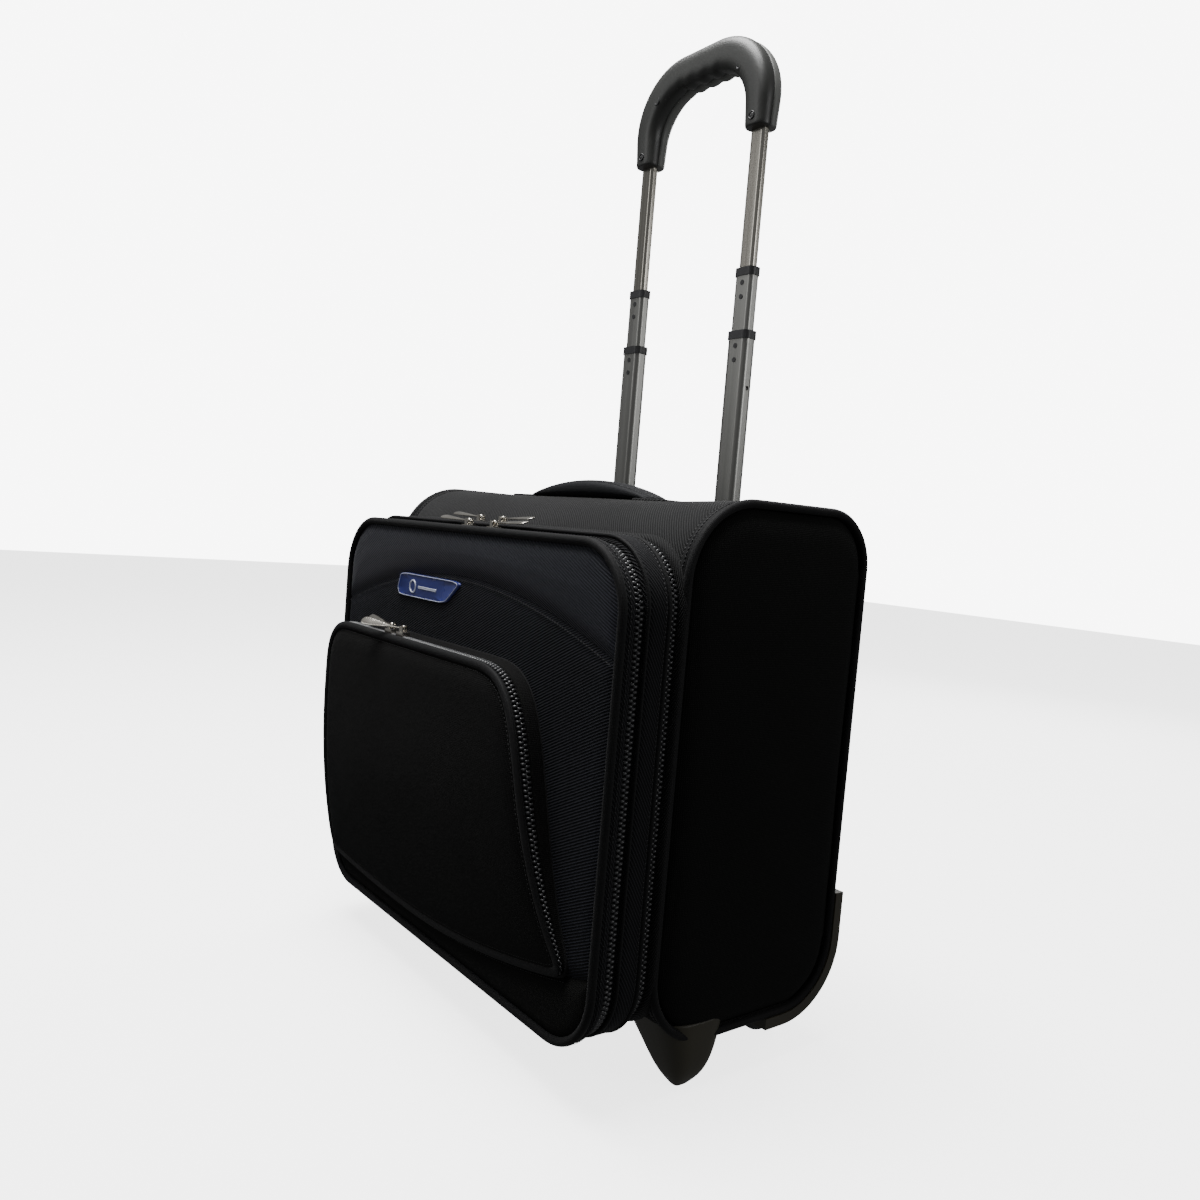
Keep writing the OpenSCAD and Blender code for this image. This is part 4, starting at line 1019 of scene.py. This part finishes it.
handle_cloth = plain_weave("handle_cloth", (0.003, 0.0032, 0.0042), (0.010, 0.0105, 0.013), 0.0010,
                           0.0001, sheen=0.04, roughness=0.6)
carry_handle()


# ---- Trolley handle ----

tube_low, tube_high = span("stage_1_tubes")
pole_y = (tube_low[1] + tube_high[1]) / 2
pole_x = tube_high[0] - (tube_high[1] - tube_low[1]) / 14 * 11.5
grip_bend = 0.050
grip_half_r, grip_half_t = 0.015, 0.0145
grip_middle_z = grip_high[2] - grip_half_r


def grip_path():
    """Centre line of the grip in (x, z) with its outward direction: leg, quarter turn,
    bridge, quarter turn, leg, from the left leg's end to the right one's."""
    leg = np.linspace(grip_low[2], grip_middle_z - grip_bend, 22)[:-1]
    turn = np.linspace(0, math.pi / 2, 25)
    corner_x = pole_x - grip_bend
    bridge = np.linspace(corner_x, 0, 41)[1:]
    centre_z = grip_middle_z - grip_bend
    right = np.vstack([
        np.stack([np.full_like(leg, pole_x), leg], 1),
        np.stack([corner_x + grip_bend * np.cos(turn), centre_z + grip_bend * np.sin(turn)], 1),
        np.stack([bridge, np.full_like(bridge, grip_middle_z)], 1)])
    out = np.vstack([np.tile([1.0, 0.0], (len(leg), 1)),
                     np.stack([np.cos(turn), np.sin(turn)], 1),
                     np.tile([0.0, 1.0], (len(bridge), 1))])
    mirror = np.array([-1.0, 1.0])
    return np.vstack([right[:-1] * mirror, right[::-1]]), np.vstack([out[:-1] * mirror, out[::-1]])


def grip_half(name, side, finish, node):
    """Half of the grip: a squarish half oval along the path, with finger scallops under
    the bridge, a flared end on each leg and a recess round the button."""
    path, out = grip_path()
    angle = np.linspace(0, math.pi, 49)
    power = 2 / 3.2
    radial = np.sign(np.cos(angle)) * np.abs(np.cos(angle)) ** power
    depth = np.sin(angle) ** power
    height = path[:, 1] - grip_low[2]
    reach = np.clip(height / (grip_middle_z - grip_low[2]), 0, 1)
    flare = 0.80 + 0.20 * np.sin(reach * math.pi / 2) ** 1.3 - 0.05 * np.exp(-height / 0.0010)
    pitch = 0.017
    cell = np.abs(path[:, 0]) / pitch % 1.0
    scallop = np.where((np.abs(path[:, 0]) < 2 * pitch) & (path[:, 1] > grip_middle_z - 0.001),
                       np.sin(cell * math.pi) ** 2, 0)
    r = grip_half_r * flare[:, None] * radial[None]
    r = r + 0.0016 * scallop[:, None] * np.clip(-radial, 0, 1)[None] ** 0.6
    y = side * (0.0003 + grip_half_t * flare[:, None] * depth[None])
    seam = np.exp(-(np.minimum(angle, math.pi - angle) / 0.06) ** 2)
    r = r - np.sign(r) * 0.0005 * seam[None]
    x = path[:, 0, None] + out[:, 0, None] * r
    z = path[:, 1, None] + out[:, 1, None] * r
    top = (np.abs(x) < 0.0156) & (np.abs(y) < 0.0065) & (r > 0)
    z = np.where(top, z - 0.0030, z)
    shell = np.stack([x, pole_y + y, z], -1)
    closing = shell[:, -1:] + (shell[:, :1] - shell[:, -1:]) * np.linspace(0, 1, 6)[None, 1:-1, None]
    loop = np.concatenate([shell, closing], 1)
    first, last = loop[:1].mean(1, keepdims=True), loop[-1:].mean(1, keepdims=True)
    caps = [first + (loop[:1] - first) * k for k in (0.0, 0.6, 0.93)]
    tails = [last + (loop[-1:] - last) * k for k in (0.93, 0.6, 0.0)]
    tube = grid(np.concatenate(caps + [loop] + tails), wrap_v=True)
    piece(name, [tube], finish, "grip", [node])


def turned(profile, centre, axis, steps=64):
    """Surface of revolution: (radius, along) points turned about an axis, "x" or "y"."""
    profile = np.asarray(profile, float)
    angle = math.tau * np.arange(steps) / steps
    a = profile[None, :, 0] * np.cos(angle)[:, None]
    b = profile[None, :, 0] * np.sin(angle)[:, None]
    along = np.broadcast_to(profile[None, :, 1], a.shape)
    order = (along, a, b) if axis == "x" else (a, along, b)
    return np.stack(order, -1) + np.asarray(centre)


def grip_screw_seats():
    """Rim and sunk cross-headed screw at the four places on the grip's front."""
    seats, heads = [], []
    corner_x, corner_z = pole_x - grip_bend, grip_middle_z - grip_bend
    reach = (grip_bend - 0.0060) * math.sqrt(0.5)
    spots = [(pole_x, grip_low[2] + 0.008, 0.0124), (corner_x + reach, corner_z + reach, 0.0140)]
    for sign in (-1, 1):
        for x, z, depth in spots:
            centre = (sign * x, pole_y - depth, z)
            ring = oval(0.0030, -0.0001, 0.0006, 0.0004, 8)
            seats.append(grid(turned(ring, centre, "y", 32), wrap_u=True, wrap_v=True))
            dish = [(0.0, -0.0001), (0.0016, -0.0001), (0.0024, -0.00005), (0.0027, 0.0004)]
            heads.append(grid(turned(dish, centre, "y", 32), wrap_u=True,
                              away_from=(centre[0], 10, centre[2])))
            slot_place = np.array([centre, centre]) - np.array([0, 0.0001, 0])
            along = np.array([[1.0, 0, 1.0], [1.0, 0, -1.0]]) / math.sqrt(2)
            up = np.array([[0, -1.0, 0]] * 2)
            seats.append(studs(slot_place, along, up, 0.0030, 0.0006, 0.00015))
    piece("grip_screw_seats", seats, black_plastic, "grip")
    piece("grip_screw_heads", heads, dark_screw, "grip", ["grip_screws"])


dark_screw = drawn_metal("dark_screw", (0.05, 0.05, 0.05), (0.12, 0.12, 0.12), 0.4,
                         (300, 300, 300))
grip_half("grip_front_shell", -1, grip_plastic, "grip_front")
grip_half("grip_back_shell", 1, grip_back_painted_highlight, "grip_back")
grip_screw_seats()
paint(grey_tube, "stage_1_tubes", "stage_2_tubes", "base_tubes")
paint(bright_tube, "stage_3_tubes")
paint(black_plastic, "stage_1_collars", "stage_2_collars", "stage_1_bushes", "stage_2_bushes",
      "stage_3_bushes", "tube_socket", "trolley_bezel", "push_button")
paint(plated_steel, "release_yoke", "wheel_axles", "base_screws", "wire_frame")
paint(stiff_board, "back_board")


def button_spring():
    """Copy of the coil spring in plated steel, riding on the grip."""
    mesh = frame["nodes"]["button_spring"].data.copy()
    mesh.materials.clear()
    mesh.materials.append(plated_steel)
    spring = bpy.data.objects.new("button_spring_coil", mesh)
    scene.collection.objects.link(spring)
    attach(spring, "grip")
    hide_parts("button_spring")
    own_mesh(spring)


button_spring()


# ---- Wheels, guards and feet ----

def wheel(side):
    """Tyre with three grooves and a hub with eight spokes, turned about the axle."""
    name = "right" if side > 0 else "left"
    low, high = span(name + "_tyre")
    centre = (low + high) / 2
    radius, half = (high[2] - low[2]) / 2, (high[0] - low[0]) / 2
    hub_radius = radius * 19 / 27
    along = np.linspace(-half, half, 61)
    shoulder = 0.0025
    edge = np.clip(np.abs(along) - (half - shoulder), 0, shoulder)
    tread = radius - (shoulder - np.sqrt(shoulder ** 2 - edge ** 2))
    groove = sum(np.exp(-((along - place) / 0.0006) ** 2) for place in (-0.0045, 0.0, 0.0045))
    tread = tread - 0.0009 * groove
    outer = np.stack([tread, along], 1)
    inner = np.array([(hub_radius + 0.001, half), (hub_radius, half - 0.0014),
                      (hub_radius, -half + 0.0014), (hub_radius + 0.001, -half)])
    tyre = grid(turned(np.vstack([outer, inner]), centre, "x", 96), wrap_u=True, wrap_v=True)
    piece(name + "_tyre_tread", [tyre], tyre_rubber, name + "_wheel",
          [name + "_tyre"], sharp=50)
    bore = 0.0031
    rim = [(bore, 0.010), (0.0062, 0.010), (0.0070, 0.0092), (0.0072, 0.0050), (0.0140, 0.0044),
           (0.0150, 0.0050), (0.0158, 0.0072), (hub_radius - 0.0002, 0.0076)]
    profile = np.array(rim + [(r, -a) for r, a in reversed(rim)])
    hub = grid(turned(profile, centre, "x", 72), wrap_u=True, wrap_v=True)
    angle = math.tau * np.arange(8) / 8
    radial = np.stack([0 * angle, np.cos(angle), np.sin(angle)], 1)
    spokes = []
    for face in (-1, 1):
        up = np.broadcast_to([face * 1.0, 0, 0], radial.shape)
        places = centre + radial * 0.0112 + up * 0.0040
        spokes.append(studs(places, radial, up, 0.0095, 0.0022, 0.0030))
    piece(name + "_hub_spoked", [hub] + spokes, hub_plastic, name + "_wheel",
          [name + "_hub"], sharp=40)


hub_plastic = moulded("hub_plastic", (0.03, 0.03, 0.031), (0.06, 0.06, 0.062), 1200, 0.00003,
                      roughness=0.45)
wheel(-1)
wheel(1)
bevelled_copy("corner_guards", guard_plastic_painted_reflection, "case", 0.0018)


def front_foot(side):
    """Moulded foot: rounded rectangular sections from the case down to a small sole. Each
    section's four sides are smooth curves of its height."""
    low, high = span("front_feet")
    z = np.linspace(low[2], body_front_low, 41)
    rise = (z - low[2]) / (body_front_low - low[2])
    outer = half_width + 0.001 - 0.006 * (1 - rise) ** 3
    inner = outer - 0.018 - 0.054 * rise ** 0.75
    front = low[1] + 0.013 * (1 - rise ** 1.4)
    rear = low[1] + 0.036 + (high[1] - low[1] - 0.036) * rise ** 0.6
    angle = math.tau * np.arange(48) / 48
    cosine, sine = np.cos(angle), np.sin(angle)
    square = 2 / 3.6
    across = np.sign(cosine) * np.abs(cosine) ** square
    along = np.sign(sine) * np.abs(sine) ** square
    shrink = 1 - 0.45 * np.exp(-(z - low[2]) / 0.005)
    x = ((outer + inner) / 2)[:, None] + ((outer - inner) / 2 * shrink)[:, None] * across[None]
    y = ((front + rear) / 2)[:, None] + ((rear - front) / 2 * shrink)[:, None] * along[None]
    points = np.stack([side * x, y, np.broadcast_to(z[:, None], x.shape)], -1)
    base = points[:1].mean(1, keepdims=True)
    crown = points[-1:].mean(1, keepdims=True)
    soles = [base + (points[:1] - base) * k for k in (0.0, 0.7)]
    tops = [crown + (points[-1:] - crown) * k for k in (0.7, 0.0)]
    return grid(np.concatenate(soles + [points] + tops), wrap_v=True)


body_front_low = base_z + 0.014
piece("front_feet_moulded", [front_foot(-1), front_foot(1)], guard_plastic_painted_reflection, "case",
      ["front_feet"])


# ---- Sliders and pulls ----

def zip_pull(stem, twist):
    """Long tag of a slider: a ring round the slider's crossbar, a slim shank and an oval
    end. Its rounded oval section turns about its length, so its face shows to the front."""
    node = stem + "_pull"
    mesh = frame["nodes"][node].data
    points = np.empty(len(mesh.vertices) * 3)
    mesh.vertices.foreach_get("co", points)
    points = points.reshape(-1, 3)
    low, high = span(stem + "_slider")
    root = (low + high) / 2
    root[2] = (points[:, 2].min() + points[:, 2].max()) / 2
    axis = (points.min(0) + points.max(0)) / 2 - root
    axis[2] = 0
    axis /= np.linalg.norm(axis)
    side = np.cross([0, 0, 1.0], axis)
    if side[1] > 0:
        side = -side
    length = ((points - root) @ axis).max()
    end_half = np.abs((points - root) @ side).max()
    run = length - (length - 0.0022) * (1 + np.cos(np.linspace(0, math.pi, 61))) / 2
    grow = np.clip((run - 0.010) / (length - end_half - 0.010), 0, 1)
    half_wide = 0.0016 + (end_half - 0.0016) * grow * grow * (3 - 2 * grow)
    tip = np.clip((run - (length - end_half)) / end_half, 0, 1)
    round_end = np.sqrt(np.maximum(1 - tip ** 2, 0.0004))
    half_thick = 0.00085 * round_end ** 0.4
    turn = np.radians(twist) * np.clip((run - 0.006) / 0.016, 0, 1)
    angle = math.tau * np.arange(24) / 24
    across = (half_wide * round_end)[:, None] * np.cos(angle)[None]
    up = half_thick[:, None] * (np.sign(np.sin(angle)) * np.abs(np.sin(angle)) ** 0.7)[None]
    cosine, sine = np.cos(turn)[:, None], np.sin(turn)[:, None]
    rise = 0.05 * run[:, None, None] * np.array([0, 0, 1.0])
    section = (root + run[:, None, None] * axis + rise + (across * cosine + up * sine)[..., None] * side
               + (up * cosine - across * sine)[..., None] * np.array([0, 0, 1.0]))
    ends = [section[k:k + 1].mean(1, keepdims=True) + 0 * section[:1] for k in (0, -1)]
    tag = grid(np.concatenate([ends[0], section, ends[1]]), wrap_v=True)
    around = math.tau * np.arange(32) / 32
    ring_out = (np.cos(around)[:, None] * axis + np.sin(around)[:, None] * np.array([0, 0, 1.0]))
    tube = oval(0.0020, 0.0, 0.0006, 0.0012, 12)
    ring = grid(root + ring_out[:, None] * tube[None, :, :1] + side * tube[None, :, 1:],
                wrap_u=True, wrap_v=True)
    piece(node + "_tag", [tag, ring], nickel, stem + "_pull_body", [node], sharp=50)


for joint in frame["joints"]:
    if joint["name"].endswith("_zip_slide"):
        stem = joint["name"][:-len("_zip_slide")]
        bevelled_copy(stem + "_slider", nickel, stem + "_slider_body", 0.0007)
        zip_pull(stem, 45 if stem.startswith("pocket") else 20)


# ---- Inside ----

def lining_pad(name, node, body, radius, rise_by, finish, inset=0.001):
    """Soft panel inside the case: the node's front outline, plump towards the front, with
    a bound edge."""
    low, high = span(node)
    box = (low[0] + inset, high[0] - inset, low[2] + inset, high[2] - inset)
    loop = rounded_loop(box, radius, 0, arc_steps=10, step=0.010)
    middle = np.array([(low[0] + high[0]) / 2, (low[2] + high[2]) / 2])

    def height(gap, flat):
        return low[1] - rise_by * plump(gap, 0.02) - slack(flat[..., 0], flat[..., 1], 0.0008) \
            * plump(gap, 0.03)

    sheet = pad(loop, middle, height, "front", -1, 30)
    obj = piece(name, [sheet], finish, body, [node],
                wall=max(high[1] - low[1], 0.0015))
    bound = swept(loop, oval(-0.0012, low[1] + 0.0006, 0.0016))
    piece(name + "_binding", [bound], piping_cloth, body)


def sleeve():
    """Padded pouch on the back lining: crowned front, gusset walls and a bound mouth."""
    low, high = span("laptop_sleeve")
    loop = rounded_loop((low[0], high[0], low[2], high[2]), 0.012, 0, arc_steps=8, step=0.010)
    middle = np.array([0.0, (low[2] + high[2]) / 2])

    def height(gap, flat):
        return low[1] - 0.004 * plump(gap, 0.025) - slack(flat[..., 0], flat[..., 1], 0.001) \
            * plump(gap, 0.03)

    front = piece("sleeve_front", [pad(loop, middle, height, "front", -1, 30)], lining_cloth,
                  "case", ["laptop_sleeve"], wall=0.003)
    mouth = high[2] - 0.012
    around = loop[loop[:, 1] < mouth]
    start = int(np.argmin(around[:, 0] + 10 * (around[:, 1] < mouth - 0.010)))
    around = np.roll(around, -start, 0)
    wall = [(0.0, low[1]), (0.0012, (low[1] + high[1]) / 2), (0.0, high[1]),
            (-0.0025, high[1]), (-0.0018, (low[1] + high[1]) / 2), (-0.0025, low[1])]
    sides = swept(around, wall, closed_loop=False)
    piece("sleeve_gusset", [sides], lining_cloth, "case")
    bound = swept(loop, oval(-0.0010, low[1] + 0.0010, 0.0018))
    piece("sleeve_binding", [bound], piping_cloth, "case")


lining_pad("trolley_lining", "trolley_cover", "case", 0.004, 0.002, lining_cloth)
lining_pad("divider_pad", "divider_panel", "front_box", 0.040, 0.0012, lining_cloth, 0.002)
sleeve()
